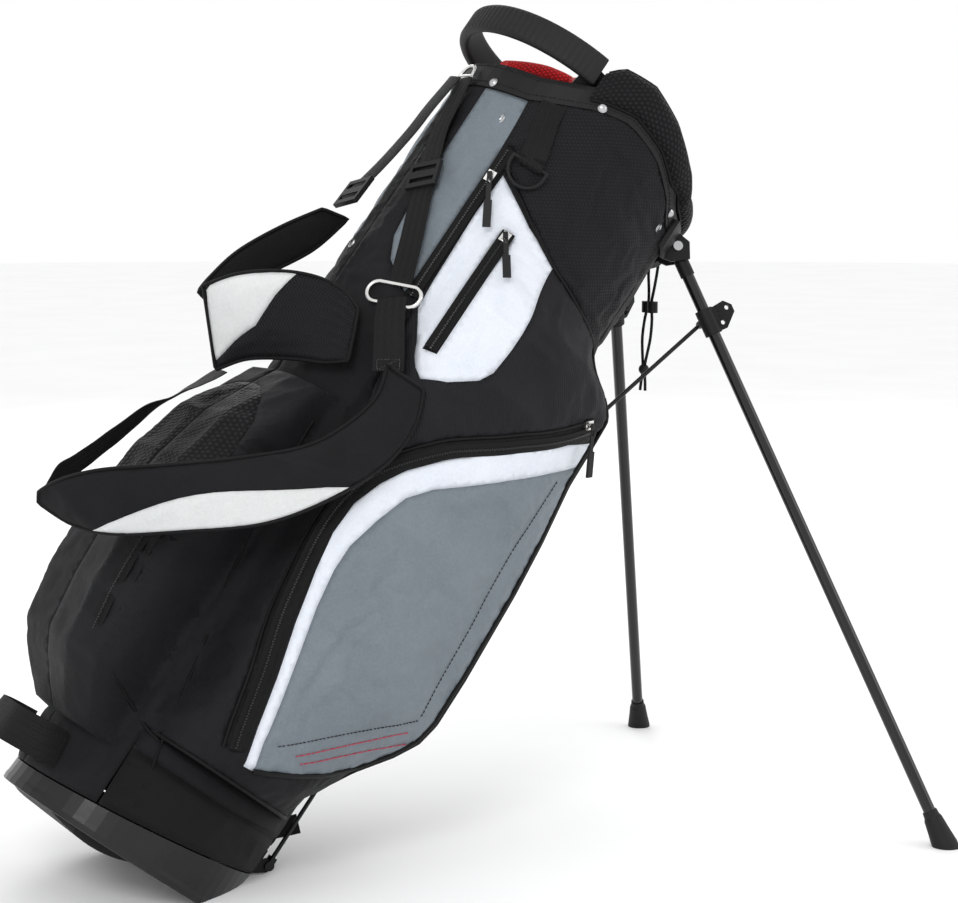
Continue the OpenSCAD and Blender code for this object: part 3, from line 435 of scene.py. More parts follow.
def add_studio():
    scene = bpy.context.scene
    scene.view_settings.view_transform = "Standard"
    world = bpy.data.worlds.new("studio")
    scene.world = world
    world.use_nodes = True
    world.node_tree.nodes["Background"].inputs[0].default_value = (1.0, 1.0, 1.0, 1)
    world.node_tree.nodes["Background"].inputs[1].default_value = 1.0
    area_light("key", (-2.2, -2.6, 2.6), 1.3, 46)
    area_light("fill", (2.6, -2.2, 1.5), 1.6, 14)
    area_light("rim", (1.2, 3.0, 2.4), 1.6, 24)
    g = Graph("floor")
    obj = g.node("ShaderNodeTexCoord").outputs["Object"]
    g.link(g.ramp(g.noise(obj, 3.0), [(0.3, (0.93, 0.93, 0.935)), (0.7, (0.96, 0.96, 0.965))]),
           g.bsdf.inputs["Base Color"])
    g.bsdf.inputs["Roughness"].default_value = 0.9
    me = bpy.data.meshes.new("floor")
    sides, far = 64, 14.0
    me.from_pydata([(far * math.cos(2 * math.pi * i / sides), far * math.sin(2 * math.pi * i / sides), 0.0)
                    for i in range(sides)], [], [list(range(sides))])
    me.materials.append(g.mat)
    floor = bpy.data.objects.new("floor", me)
    bpy.context.scene.collection.objects.link(floor)


# ---------- making pieces ----------
def piece(name, verts, faces, mat, body="bag", uvs=None, smooth_faces=True):
    """A mesh piece from points of the row frame. uvs holds one (x, y) in metres for each vertex."""
    me = bpy.data.meshes.new(name)
    me.from_pydata([tuple(v) for v in verts], [], faces)
    if uvs is not None:
        layer = me.uv_layers.new(name="UVMap")
        flat = [c for loop in me.loops for c in uvs[loop.vertex_index]]
        layer.data.foreach_set("uv", flat)
    me.materials.append(M[mat])
    if smooth_faces:
        me.shade_smooth()
        me.set_sharp_from_angle(angle=math.radians(50))
    obj = bpy.data.objects.new(name, me)
    bpy.context.scene.collection.objects.link(obj)
    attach(obj, body)
    return obj


def solid(obj, thick):
    """Gives a sheet its thickness, inwards."""
    m = obj.modifiers.new("thickness", "SOLIDIFY")
    m.thickness = thick * MM
    m.offset = -1
    return obj


def spline(points, steps):
    """A smooth curve through the points, with steps pieces between each two."""
    out = []
    p = [Vector(q) for q in points]
    k = len(p) - 1
    for i in range(k):
        a, b, c, d = p[max(i - 1, 0)], p[i], p[i + 1], p[min(i + 2, k)]
        for s in range(steps):
            t = s / steps
            out.append(0.5 * (2 * b + (c - a) * t + (2 * a - 5 * b + 4 * c - d) * t * t
                              + (3 * b - a - 3 * c + d) * t ** 3))
    return out + [p[-1]]


def even(points, step, closed=False):
    """The same line with points about step apart."""
    p = [Vector(q) for q in points]
    if closed:
        p.append(p[0])
    total = [0.0]
    for a, b in zip(p, p[1:]):
        total.append(total[-1] + (b - a).length)
    count = max(2, round(total[-1] / step))
    out = []
    j = 0
    for i in range(count + (0 if closed else 1)):
        want = total[-1] * i / count
        while j < len(total) - 2 and total[j + 1] < want:
            j += 1
        span = total[j + 1] - total[j]
        out.append(p[j].lerp(p[j + 1], 0 if span == 0 else (want - total[j]) / span))
    return out


def loft(rings, closed_ring=True, caps=True, closed_path=False):
    """Faces and UVs for rings of the same count. Rings run along a path; a ring goes round the section."""
    m = len(rings[0])
    verts = [Vector(p) for r in rings for p in r]
    faces = []
    k = len(rings)
    for i in range(k if closed_path else k - 1):
        for j in range(m if closed_ring else m - 1):
            a, b = i * m + j, i * m + (j + 1) % m
            c, d = ((i + 1) % k) * m + (j + 1) % m, ((i + 1) % k) * m + j
            faces.append((a, b, c, d))
    if caps and closed_ring and not closed_path:
        faces.append(tuple(range(m - 1, -1, -1)))
        faces.append(tuple((k - 1) * m + j for j in range(m)))
    uvs = []
    along = 0.0
    for i, r in enumerate(rings):
        if i:
            along += (Vector(r[0]) - Vector(rings[i - 1][0])).length
        across = 0.0
        for j in range(m):
            if j:
                across += (Vector(r[j]) - Vector(r[j - 1])).length
            uvs.append((along, across))
    return verts, faces, uvs


def tube(name, points, radius, mat, sides=8, closed=False):
    """Round tube along points of the bag frame, radius in millimetres."""
    p = [at(q) for q in points]
    k = len(p)
    rings = []
    side = None
    for i in range(k):
        a = p[(i - 1) % k] if closed else p[max(i - 1, 0)]
        b = p[(i + 1) % k] if closed else p[min(i + 1, k - 1)]
        t = (b - a).normalized()
        if side is None:
            side = t.cross(Vector((0.13, 0.31, 0.94))).normalized()
        side = (side - t * side.dot(t)).normalized()
        up = t.cross(side)
        rings.append([p[i] + (side * math.cos(2 * math.pi * j / sides) + up
                              * math.sin(2 * math.pi * j / sides))
                      * radius * MM for j in range(sides)])
    verts, faces, uvs = loft(rings, True, True, closed)
    return piece(name, verts, faces, mat, "bag", uvs)


# One section of webbing, in half widths and half thicknesses, with a low crown on the outside
STRAP_SECTION = [(-1, -0.5), (-0.6, -1), (0, -1), (0.6, -1), (1, -0.5), (1, 0.5), (0.6, 1.15), (0, 1.25),
                 (-0.6, 1.15), (-1, 0.5)]


def strap_rings(points, outs, width, thick, sway=0.0):
    """Sections of a webbing strap: rounded edges, a low crown and a hint of waviness."""
    rings = []
    k = len(points)
    for i in range(k):
        t = (Vector(points[min(i + 1, k - 1)]) - Vector(points[max(i - 1, 0)])).normalized()
        side = t.cross(Vector(outs[i])).normalized()
        out = side.cross(t).normalized()
        w = (width[i] if isinstance(width, list) else width) / 2
        h = thick / 2
        wave = sway * noise.noise(Vector(points[i]) * 0.03)
        section = []
        for x, y in STRAP_SECTION:
            section.append(Vector(points[i]) + side * (x * w) + out * (y * h + wave))
        rings.append(section)
    return rings


def strap(name, path, outs, width, thick, mat="webbing", step=4.0, sway=0.6):
    """Flat webbing along points of the bag frame."""
    p = even(path, step)
    o = [facing(outs, q) for q in p]
    if isinstance(width, tuple):
        width = [lookup(i / (len(p) - 1), list(width)) for i in range(len(p))]
    rings = [[at(q) for q in r] for r in strap_rings(p, o, width, thick, sway=sway)]
    verts, faces, uvs = loft(rings)
    return piece(name, verts, faces, mat, "bag", uvs)


def outward(q):
    """Direction away from the bag's axis."""
    return Vector((q[0], q[1], 0)).normalized()


def facing(outs, q):
    """Outward direction at a point, from one direction or from a function."""
    return Vector(outs(q) if callable(outs) else outs)


def stitches(name, lines, outs, mat="grey_thread", pitch=4.2, long=2.8, thick=0.7, lift=0.5):
    """Rows of thread: each stitch a small bar that dips at both ends. lines holds point lists."""
    verts, faces = [], []
    for line in lines:
        p = even(line, 1.0)
        total = len(p) - 1
        s = 0.0
        while s + long < total:
            a, b = p[int(s)], p[min(int(s + long), total)]
            mid = (a + b) / 2
            out = facing(outs, mid)
            t = (b - a).normalized()
            side = t.cross(out).normalized() * thick / 2
            base = len(verts)
            for q, h in ((a, 0.0), (mid, 1.0), (b, 0.0)):
                up = out * (lift * (0.1 + h))
                verts += [at(q - side - out * 0.3), at(q - side * 0.6 + up), at(q + side * 0.6 + up),
                          at(q + side - out * 0.3)]
            for k in (0, 4):
                for j in range(3):
                    faces.append((base + k + j, base + k + j + 1, base + k + j + 5, base + k + j + 4))
            s += pitch
    return piece(name, verts, faces, mat, "bag", [(v.x, v.z) for v in verts])


TOOTH_PITCH = 2.6


def zip_teeth(name, line, out_of):
    """Two rows of interlocking coil teeth along a line of the bag frame."""
    p = even(line, TOOTH_PITCH)
    verts, faces = [], []
    for i in range(len(p) - 1):
        t = (p[i + 1] - p[i]).normalized()
        out = facing(out_of, p[i])
        side = t.cross(out).normalized()
        out = side.cross(t)
        s = 1 if i % 2 else -1
        base = len(verts)
        for x, y, z in ((-0.9, -0.3, 0), (0.9, -0.3, 0), (0.9, 2.1, 0), (-0.9, 2.1, 0),
                        (-0.6, 0.0, 1.2), (0.6, 0.0, 1.2), (0.6, 1.7, 1.2), (-0.6, 1.7, 1.2)):
            verts.append(at(p[i] + t * x + side * (s * (y - 0.7)) + out * (z - 0.1)))
        quads = ((4, 5, 6, 7), (0, 1, 5, 4), (1, 2, 6, 5), (2, 3, 7, 6), (3, 0, 4, 7))
        faces += [tuple(base + j for j in (q if s > 0 else q[::-1])) for q in quads]
    return piece(name, verts, faces, "teeth", smooth_faces=False)


# ---------- sewn skins ----------
def inside(x, y, poly):
    """Whether a flat point lies inside an outline."""
    hit = False
    j = len(poly) - 1
    for i in range(len(poly)):
        (xi, yi), (xj, yj) = poly[i], poly[j]
        if (yi > y) != (yj > y) and x < (xj - xi) * (y - yi) / (yj - yi) + xi:
            hit = not hit
        j = i
    return hit


def dense(poly, step, closed=True):
    """The outline with points about step apart."""
    out = []
    pts = list(poly) + ([poly[0]] if closed else [])
    for a, b in zip(pts, pts[1:]):
        k = max(1, round(math.dist(a, b) / step))
        out += [(mix(a[0], b[0], i / k), mix(a[1], b[1], i / k)) for i in range(k)]
    if not closed:
        out.append(pts[-1])
    return out


def seam_distance(points, segments):
    """Distance of each flat point to the nearest seam."""
    p = np.array(points)
    best = np.full(len(p), 1e9)
    for a, b in segments:
        a, b = np.array(a), np.array(b)
        d = b - a
        t = np.clip(((p - a) @ d) / max(d @ d, 1e-9), 0, 1)
        best = np.minimum(best, np.linalg.norm(p - (a + t[:, None] * d), axis=1))
    return best


SETTLE_FRAMES = 24


def settle(verts, tris, pinned, grow, pressure, cap):
    """Lets a sewn sheet belly and pucker between its pinned seams; returns where its points rest."""
    me = bpy.data.meshes.new("settling")
    me.from_pydata([tuple(v) for v in verts], [], tris)
    obj = bpy.data.objects.new("settling", me)
    scene = bpy.context.scene
    scene.collection.objects.link(obj)
    group = obj.vertex_groups.new(name="seams")
    group.add([i for i, p in enumerate(pinned) if p], 1.0, "REPLACE")
    cloth = obj.modifiers.new("cloth", "CLOTH")
    s = cloth.settings
    s.quality = 4
    s.mass = 0.15
    s.tension_stiffness = 22
    s.compression_stiffness = 22
    s.shear_stiffness = 8
    s.bending_stiffness = 0.35
    s.vertex_group_mass = "seams"
    s.pin_stiffness = 1.0
    s.shrink_min = -grow
    s.use_pressure = True
    s.uniform_pressure_force = pressure
    s.effector_weights.gravity = 0
    cloth.collision_settings.use_collision = False
    cloth.point_cache.frame_start = 1
    cloth.point_cache.frame_end = SETTLE_FRAMES
    for f in range(1, SETTLE_FRAMES + 1):
        scene.frame_set(f)
    done = obj.evaluated_get(bpy.context.evaluated_depsgraph_get()).data
    rest = []
    for i, v in enumerate(verts):
        move = done.vertices[i].co - v
        far = cap[i] * MM
        if move.length > far:
            move = move * (far / move.length)
        rest.append(v + move)
    bpy.data.objects.remove(obj)
    bpy.data.meshes.remove(me)
    scene.frame_set(1)
    return rest


def sewn(tag, region, panels, place, step=7.0, thick=1.4, cloth=None, puff=2.0, ripple=0.7, seed=0.0,
         holes=(), seams=()):
    """Sewn panels of one skin. region and the panels are outlines in flat millimetres, and a triangle
    belongs to the first panel that holds it. place(x, y, lift) gives a point of the bag frame, seams are
    rows of stitches, and cloth is (grow, pressure, cap)."""
    edges, flat, segments = [], [], []
    outlines = [region] + [p[1] for p in panels if p[1] is not None] + list(holes)
    for line in outlines:
        d = dense(line, step)
        base = len(flat)
        flat += d
        edges += [(base + i, base + (i + 1) % len(d)) for i in range(len(d))]
        segments += [(d[i], d[(i + 1) % len(d)]) for i in range(len(d))]
    for line in seams:
        d = dense(line, step, closed=False)
        base = len(flat)
        flat += d
        edges += [(base + i, base + i + 1) for i in range(len(d) - 1)]
        segments += list(zip(d, d[1:]))
    xs, ys = [p[0] for p in region], [p[1] for p in region]
    row = 0
    grid = []
    y = min(ys) + step * 0.5
    while y < max(ys):
        x = min(xs) + (step * 0.5 if row % 2 else 0)
        while x < max(xs):
            if inside(x, y, region):
                grid.append((x, y))
            x += step
        y += step * 0.866
        row += 1
    far = seam_distance(grid, segments) if grid else []
    flat += [g for g, d in zip(grid, far) if d > step * 0.55]
    pts, _, tris, *_ = geometry.delaunay_2d_cdt([Vector(p) for p in flat], edges, [], 0, 1e-4)
    flat = [(p.x, p.y) for p in pts]
    owner = []
    for t in tris:
        cx = sum(flat[i][0] for i in t) / 3
        cy = sum(flat[i][1] for i in t) / 3
        who = None
        if inside(cx, cy, region) and not any(inside(cx, cy, h) for h in holes):
            who = next((p[0] for p in panels if p[1] is None or inside(cx, cy, p[1])), None)
        owner.append(who)
    keep = [list(t) for t, w in zip(tris, owner) if w]
    names = [w for w in owner if w]
    dist = seam_distance(flat, segments)
    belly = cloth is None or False
    verts = []
    for (x, y), d in zip(flat, dist):
        soft = 1 - math.exp(-d / 16)
        lift = (puff if belly else puff * 0.4) * soft
        way = Vector((x * 0.022, y * 0.012, seed))
        lift += ripple * soft * (noise.noise(way) * 1.4 + noise.noise(way * 2.7) * 0.7)
        lift = max(lift, 0.35 * puff * soft)
        verts.append(at(place(x, y, lift)))
    a, b, c = (verts[i] for i in keep[0])
    middle = flat[keep[0][0]]
    out = at(place(*middle, 5.0)) - at(place(*middle, 0.0))
    if (b - a).cross(c - a).dot(out) < 0:
        keep = [t[::-1] for t in keep]
    if not belly:
        grow, pressure, cap = cloth
        verts = settle(verts, keep, [d < 0.4 for d in dist], grow, pressure,
                       [cap * (1 - math.exp(-d / 12)) for d in dist])
        for i, (x, y) in enumerate(flat):
            foot = at(place(x, y, 0.0))
            way = (at(place(x, y, 5.0)) - foot).normalized()
            verts[i] += way * max(0.0, (foot - verts[i]).dot(way))
    made = []
    for panel in panels:
        mine = [t for t, w in zip(keep, names) if w == panel[0]]
        if not mine:
            continue
        used = sorted({i for t in mine for i in t})
        index = {v: i for i, v in enumerate(used)}
        obj = piece(f"{tag}_{panel[0]}", [verts[i] for i in used],
                    [tuple(index[i] for i in t) for t in mine],
                    panel[2], "bag", [(flat[i][0] * MM, flat[i][1] * MM) for i in used])
        solid(obj, thick)
        made.append(obj)
    return made


# ---------- elastic cords ----------
CORD_D = 3.2
CORD_POINTS = [(138, 9, 812), (147, 8, 800), (157, 5, 788), (166, 3, 776), (176, 7, 763), (188, 8, 747),
               (198, 5, 734), (206, 2.2, 724), (213, 2.4, 715), (218, 4, 708), (223, 5, 701)]
CORD_MID = [(138, -24), (166, -16), (206, -5), (230, -3)]


def add_cords():
    for side, s in (("near", -1), ("far", 1)):
        line = spline([(u, lookup(u, CORD_MID) + s * spread, n) for u, spread, n in CORD_POINTS], 3)
        obj = tube(f"{side}_elastic", line, CORD_D / 2, "cord", sides=12)
        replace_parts(obj, f"{side}_cord")
        path = [at(p) for p in line]


# ---------- finish of the model's hard parts ----------
HARD = {
    "gloss": ["base_cup"],
    "rubber": ["base_pad", "near_leg_boot", "far_leg_boot", "garment_puller", "panel_puller",
               "ball_puller"],
    "pin": ["pivot_pins", "collar_rivets"],
    "matte": ["collar_frame", "leg_bracket", "near_buckle", "far_buckle", "towel_ring", "near_leg_head",
              "far_leg_head", "near_leg_clip", "far_leg_clip", "rocker_plate", "cord_lock", "side_stays"],
    "silver": ["top_ring", "junction_ring", "garment_slider", "panel_slider", "ball_slider"],
    "leg": ["near_leg_tube", "far_leg_tube"],
    "rod": ["near_push_rod", "far_push_rod", "near_link", "far_link"],
    "cord": ["cord_knot"],
}


def finish_hard_parts():
    for mat, nodes in HARD.items():
        for name in nodes:
            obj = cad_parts[name]
            obj.data.materials.clear()
            obj.data.materials.append(M[mat] if mat != "cord" else M["rubber"])
            obj.data.shade_smooth()
            obj.data.set_sharp_from_angle(angle=math.radians(32))
            if mat in ("matte", "gloss") and name not in ("side_stays", "cord_lock"):
                edge = obj.modifiers.new("soft_edges", "BEVEL")
                edge.width = 0.0005
                edge.segments = 2
                edge.limit_method = "ANGLE"
                edge.angle_limit = math.radians(40)


# ---------- skin of the bag ----------
def scaled(line):
    """A line of (degrees, height) in flat millimetres."""
    return [(a * FLAT, n) for a, n in line]


def flipped(line, side):
    """The line on the other side of the bag for side 1, or the same for side -1."""
    return [(a * -side, n) for a, n in line]


ZIP_LINE = [(-43, 600), (-54, 572), (-65, 547), (-72, 532), (-79, 516), (-87, 499), (-94, 483),
            (-101.5, 460),
            (-108, 436), (-113, 410), (-115.3, 382), (-115.6, 353), (-114.3, 318), (-111, 263), (-106, 212),
            (-102, 164), (-99, 138)]
WHITE_OUT = [(-38.2, 591), (-58, 558), (-72, 530), (-84, 502), (-93.5, 475), (-103, 444), (-108, 419),
             (-111.5, 390),
             (-112, 356), (-110, 318), (-106, 266), (-101, 215), (-97, 167), (-92.5, 130)]
WHITE_IN = [(-38.4, 562), (-52.6, 534), (-67, 502), (-80, 471), (-91.6, 444), (-98, 422), (-102, 389),
            (-105, 354),
            (-105, 327), (-103, 290), (-100, 255), (-95, 197), (-92, 158), (-88.5, 131)]
POCKET_EDGE = [(-38, 592), (-38, 562), (-37.8, 540), (-37.4, 505), (-37.4, 446), (-37.4, 365), (-37.6, 300),
               (-37.6, 260), (-38, 225), (-39.5, 203), (-42.5, 188), (-55.5, 169), (-68, 154), (-78, 143),
               (-88.5, 131)]
WHITE_PANEL = [(-135, 749), (-125, 735), (-113, 719), (-93, 702), (-93.5, 642), (-94.5, 600), (-96, 571),
               (-99, 556),
               (-108, 536), (-116, 526), (-120, 535), (-123, 545), (-126, 560), (-134, 590), (-135, 620),
               (-136, 700)]
GREY_TOP = [(-166, 826), (-165.5, 740), (-165, 687), (-162.5, 645), (-157, 621), (-149, 607), (-143, 598),
            (-141.5, 614),
            (-141.5, 713), (-142, 756), (-143, 800), (-144, 829)]
PIPE_TOP = [(-136.5, 757), (-122, 736), (-109, 718), (-93, 702), (-80, 694.5), (-67.5, 687.5), (-55.6, 683),
            (-44, 677), (-37.4, 662), (-37, 640)]
BODY_SEAM = [(-143, 440), (-142, 380), (-141, 320), (-138, 272), (-132, 210), (-126, 150), (-123, 108),
             (-119, 70),
             (-117, 44)]
SPINE_SEAM = [(-150.5, 296), (-151.5, 266), (-150.5, 215), (-149.6, 168), (-146.5, 140), (-141.8, 122),
              (-133, 112),
              (-124, 108)]
SPINE_ARCH = [(-180, 449), (-170, 446), (-160, 432), (-152.5, 405), (-149, 360), (-149, 299), (-180, 299)]
RIBBED = [(-137, 757), (-115, 728), (-93, 703), (-60, 685), (-36, 676), (-36, 606), (-43, 600), (-54, 572),
          (-65, 547), (-72, 532), (-79, 516), (-87, 499), (-94, 483), (-101.5, 460), (-108, 436),
          (-124, 445), (-131, 500),
          (-135, 560), (-137, 620)]
HONEY = [(-144, 850), (-143, 775), (-138, 760), (-122, 737), (-109, 719), (-93, 702), (-80, 694),
         (-60, 685),
         (-36, 676), (-36, 845), (-60, 865), (-80, 880), (-100, 880), (-125, 870)]


def offset_line(line, by):
    """The flat line moved sideways, to its left for a positive by."""
    out = []
    for i, p in enumerate(line):
        a, b = line[max(i - 1, 0)], line[min(i + 1, len(line) - 1)]
        l = math.dist(a, b)
        out.append((p[0] - (b[1] - a[1]) / l * by, p[1] + (b[0] - a[0]) / l * by))
    return out


def rounded(line, steps=4):
    return [(p.x, p.y) for p in spline([(x, y, 0) for x, y in line], steps)]


def skin_place(x, y, lift):
    return on_skin(x / FLAT, y, lift)


def body_place(x, y, lift):
    return on_body(x / FLAT, y, lift)


def skin_line(line, side=1, lift=0.0, steps=4, step=6.0):
    """Points of the bag frame along a line drawn on the skin; side -1 mirrors it to the far side."""
    flat = scaled(line) if side == 1 else scaled(flipped(line, 1))
    flat = dense(rounded(flat, steps), step, closed=False)
    return [skin_place(x, y, lift) for x, y in flat]


def side_region(side):
    """Outline of one side of the bag, from the leg side's corner to the middle of the spine."""
    line = [(-POCKET_FRONT, POCKET_FLOOR)]
    line += [(-a, collar_low(a) + 3) for a in range(36, 181, 6)]
    line += [(-a, cup_top(a) + 1.5) for a in range(180, 132, -6)]
    line += [(-133, cup_top(133) + 1.5), (-133, POCKET_FLOOR)]
    return scaled(line if side < 0 else flipped(line, 1))


def add_side(side):
    name = "near" if side < 0 else "far"

    def outline(line):
        return scaled(line if side < 0 else flipped(line, 1))

    bay_line = rounded(outline(ZIP_LINE))
    bay = offset_line(bay_line, 11) + offset_line(bay_line, -11)[::-1]
    bays = []
    if side < 0:
        bays = [("panel_bay", scaled([(-122, 702), (-116, 702), (-116, 555), (-122, 555)]), "tape"),
                ("garment_bay", scaled([(-142, 778), (-136, 778), (-136, 596), (-142, 596)]), "tape")]
    panels = bays + [("band", outline(WHITE_OUT + WHITE_IN[::-1]), "white"),
              ("ball_front", outline(WHITE_IN + POCKET_EDGE[::-1]), "grey"),
              ("zip_bay", bay, "tape"),
              ("side_panel", outline(WHITE_PANEL), "white"),
              ("ribbed", outline(RIBBED), "ribbed"),
              ("top_panel", outline(GREY_TOP), "grey"),
              ("shoulder", outline(HONEY), "honey"),
              ("spine_mesh", outline(SPINE_ARCH), "mesh"),
              ("flank", None, "nylon")]
    made = sewn(name, side_region(side), panels, skin_place, step=5.5, puff=2.6, ripple=0.9,
                seed=3.0 + side,
                cloth=(0.02, 1.4, 6.0), seams=[outline(rounded(l))
                                               for l in (STITCH_FRONT, STITCH_FOOT, *RED_LINES)])
    found = {o.name: o for o in made}
    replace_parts(found[f"{name}_ribbed"], f"{name}_garment_pocket")
    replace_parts(found[f"{name}_ball_front"], f"{name}_ball_pocket")
    if side < 0:
        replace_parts(found["near_flank"], "lower_spine_pocket", "body_shell")
        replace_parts(found["near_spine_mesh"], "upper_spine_pocket")


def front_region():
    line = [(a, cup_top(a) + 1.5) for a in range(-132, 133, 6)]
    line += [(133, POCKET_FLOOR), (POCKET_FRONT, POCKET_FLOOR)]
    line += [(a, collar_low(a) + 3) for a in range(36, -37, -6)]
    line += [(-POCKET_FRONT, POCKET_FLOOR), (-133, POCKET_FLOOR)]
    return scaled(line)


ROD_SLOT = [(16.0, 34), (16.0, 77), (22.6, 77), (22.6, 34)]


def add_front():
    holes = [scaled([(a * s, n) for a, n in ROD_SLOT]) for s in (-1, 1)]
    top = scaled([(-36, 690), (36, 690), (36, 850), (-36, 850)])
    low = scaled([(-133, 30), (133, 30), (133, 90), (-133, 90)])
    sewn("front", front_region(), [("honey", top, "honey"), ("hem", low, "gusset"),
                                   ("nylon", None, "nylon")],
         body_place, step=9.0, puff=1.2, ripple=0.9, seed=9.0, cloth=(0.01, 0.6, 4.0), holes=holes)
    for s in (-1, 1):
        edge = [on_body(a * s, n, 0.6) for a, n in dense([(16.0, 56), (16.0, 77), (22.6, 77), (22.6, 56)],
                                                         3.0, False)]
        tube(f"{'near' if s < 0 else 'far'}_slot_binding", edge, 1.3, "piping", sides=6)


def grid_piece(name, rows, mat, thick=1.2):
    """A sheet through rows of points."""
    verts, faces, uvs = loft(rows, closed_ring=False)
    return solid(piece(name, verts, faces, mat, "bag", uvs), thick)


def add_gussets(side):
    """Walls that close the side pockets: the front wall and the floor."""
    name = "near" if side < 0 else "far"
    rows = []
    for i in range(75):
        n = mix(POCKET_FLOOR, 700, i / 74)
        row = []
        for j in range(9):
            t = j / 8
            r = mix(skin_radius(POCKET_FRONT, n), body_radius(POCKET_FRONT, n) - 1, t)
            bow = 3.0 * math.sin(math.pi * t) * clamp((skin_radius(36, n) - body_radius(36, n)) / 40)
            a = POCKET_FRONT - math.degrees((bow + 0.5 * noise.noise(Vector((n * 0.03, r * 0.05,
                                                                             side)))) / r)
            c, s = dir2(a)
            row.append(at((c * r, side * s * r, n)))
        rows.append(row if side < 0 else row[::-1])
    grid_piece(f"{name}_front_gusset", rows, "gusset")
    rows = []
    for i in range(50):
        a = mix(POCKET_FRONT, 133, i / 49)
        row = []
        for j in range(7):
            t = j / 6
            r = mix(skin_radius(a, POCKET_FLOOR + 0.01), body_radius(a, POCKET_FLOOR), t)
            c, s = dir2(a)
            row.append(at((c * r, side * s * r, POCKET_FLOOR + 0.2 - 1.5 * math.sin(math.pi * t))))
        rows.append(row if side > 0 else row[::-1])
    grid_piece(f"{name}_floor_gusset", rows, "gusset")


def add_liner():
    rows = []
    for i in range(41):
        f = i / 40
        rows.append([at(on_body(a, mix(82, collar_high(a) - 4, f), -3.6 - (4.6 if f > 0.96 else 0)))
                     for a in range(0, 361, 6)][::-1])
    grid_piece("liner", rows, "liner", 0.8)


def add_piping():
    for side in (-1, 1):
        name = "near" if side < 0 else "far"
        s = 1 if side < 0 else -1
        rows = {"top_piping": (PIPE_TOP, 1.8), "body_seam": (BODY_SEAM, 1.7),
                "spine_seam": (SPINE_SEAM, 1.8),
                "front_piping": (([(-36.1, n) for n in range(640, 120, -20)] + [(-37, 116)]), 2.2),
                "pocket_binding": (POCKET_EDGE, 2.6),
                "floor_piping": ([(-38, 113)] + [(-a, 112.5) for a in range(46, 133, 10)], 2.0)}
        for key, (line, r) in rows.items():
            tube(f"{name}_{key}", skin_line(line, s, 0.6), r, "piping", sides=8)
        bay = rounded(scaled(ZIP_LINE if side < 0 else flipped(ZIP_LINE, 1)))
        edge = offset_line(bay, 11 if side > 0 else -11)
        tube(f"{name}_bay_piping", [skin_place(x, y, 0.8) for x, y in dense(edge, 6.0, False)], 1.5,
             "piping")
    low = [on_body(a, cup_top(a) + 47, 0.3) for a in range(-130, 131, 3)]
    tube("hem_seam", low, 0.9, "gusset", sides=6)


STITCH_FRONT = [(-46.4, 534), (-49, 487), (-50.3, 446), (-49.9, 402), (-48.5, 364), (-47.6, 309),
                (-45.2, 260)]
STITCH_FOOT = [(-45.2, 260), (-66.5, 208), (-88, 160)]
RED_LINES = [[(-45, 245), (-60.6, 203), (-79.6, 162)], [(-39.6, 236), (-56, 196), (-75.2, 159)]]


def add_stitching():
    for side in (-1, 1):
        name = "near" if side < 0 else "far"
        s = 1 if side < 0 else -1
        stitches(f"{name}_pocket_stitch", [skin_line(STITCH_FRONT, s, 0.8, 4, 2.0),
                                           skin_line(STITCH_FOOT, s, 0.8, 4, 2.0)],
                 outward, "thread", pitch=4.4, long=3.2, thick=0.9, lift=0.7)
        stitches(f"{name}_red_stitch", [skin_line(r, s, 0.8, 4, 2.0) for r in RED_LINES], outward,
                 "red_thread",
                 pitch=3.6, long=3.0, thick=1.1, lift=0.7)


# ---------- zips ----------
def add_zip(name, line, node, outs, width=13.0):
    """A zip tape and its teeth along a line of the bag frame."""
    obj = strap(name, line, outs, width, 1.2, "tape", step=5.0, sway=0.0)
    raised = [Vector(q) + facing(outs, q) * 0.7 for q in line]
    zip_teeth(f"{name}_teeth", raised, outs)
    if node:
        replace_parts(obj, node)


def add_zips():
    face = Vector((*dir2(-133), 0))
    c, s = dir2(-139)
    add_zip("garment_tape", [(c * 134.6, s * 134.6, n) for n in np.linspace(597, 775, 30)], "garment_zip",
            face)
    panel_face = Vector((*dir2(-126), 0))
    line = []
    for n in np.linspace(558, 702, 26):
        c, s = dir2(-119)
        r = bulge_out(-119, n) + 2.4
        line.append((c * r, s * r, float(n)))
    add_zip("panel_tape", line, "panel_zip", panel_face, width=14.0)
    add_zip("ball_tape", skin_line(ZIP_LINE, 1, 1.6), "ball_zip", outward)
    spine = [(-156, 286), (-156, 262), (-155.4, 200), (-154.5, 146)]
    for side in (1, -1):
        add_zip(f"{'near' if side > 0 else 'far'}_spine_tape", skin_line(spine, side, 1.8), None, outward,
                width=16.0)


# ---------- snaps ----------
SNAPS = [(-151, 800, 6.8), (172, 628, 6.0), (-52, 814, 5.0)]
SNAP_CURVE = [(1.0, 0.2), (0.98, 1.3), (0.88, 1.9), (0.76, 1.3), (0.66, 1.2), (0.58, 1.9), (0.46, 2.2),
              (0.36, 1.6),
              (0.28, 1.6), (0.0, 1.9)]


def add_snaps():
    """Pressed caps of the snaps: a rolled rim, a groove and a flat button."""
    for k, (a, n, radius) in enumerate(SNAPS):
        c, s = dir2(a)
        rings = []
        for part, lift in SNAP_CURVE:
            r = max(part * radius, 0.05)
            ring = []
            for i in range(32):
                x, y = dir2(i * 11.25)
                q = on_body(a, n + y * r, lift)
                ring.append(at((q[0] - s * x * r, q[1] + c * x * r, q[2])))
            rings.append(ring)
        verts, faces, uvs = loft(rings)
        cap = piece(f"snap_cap_{k}", verts, faces, "pin", "bag", uvs)
        if k == 0:
            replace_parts(cap, "snap_studs")


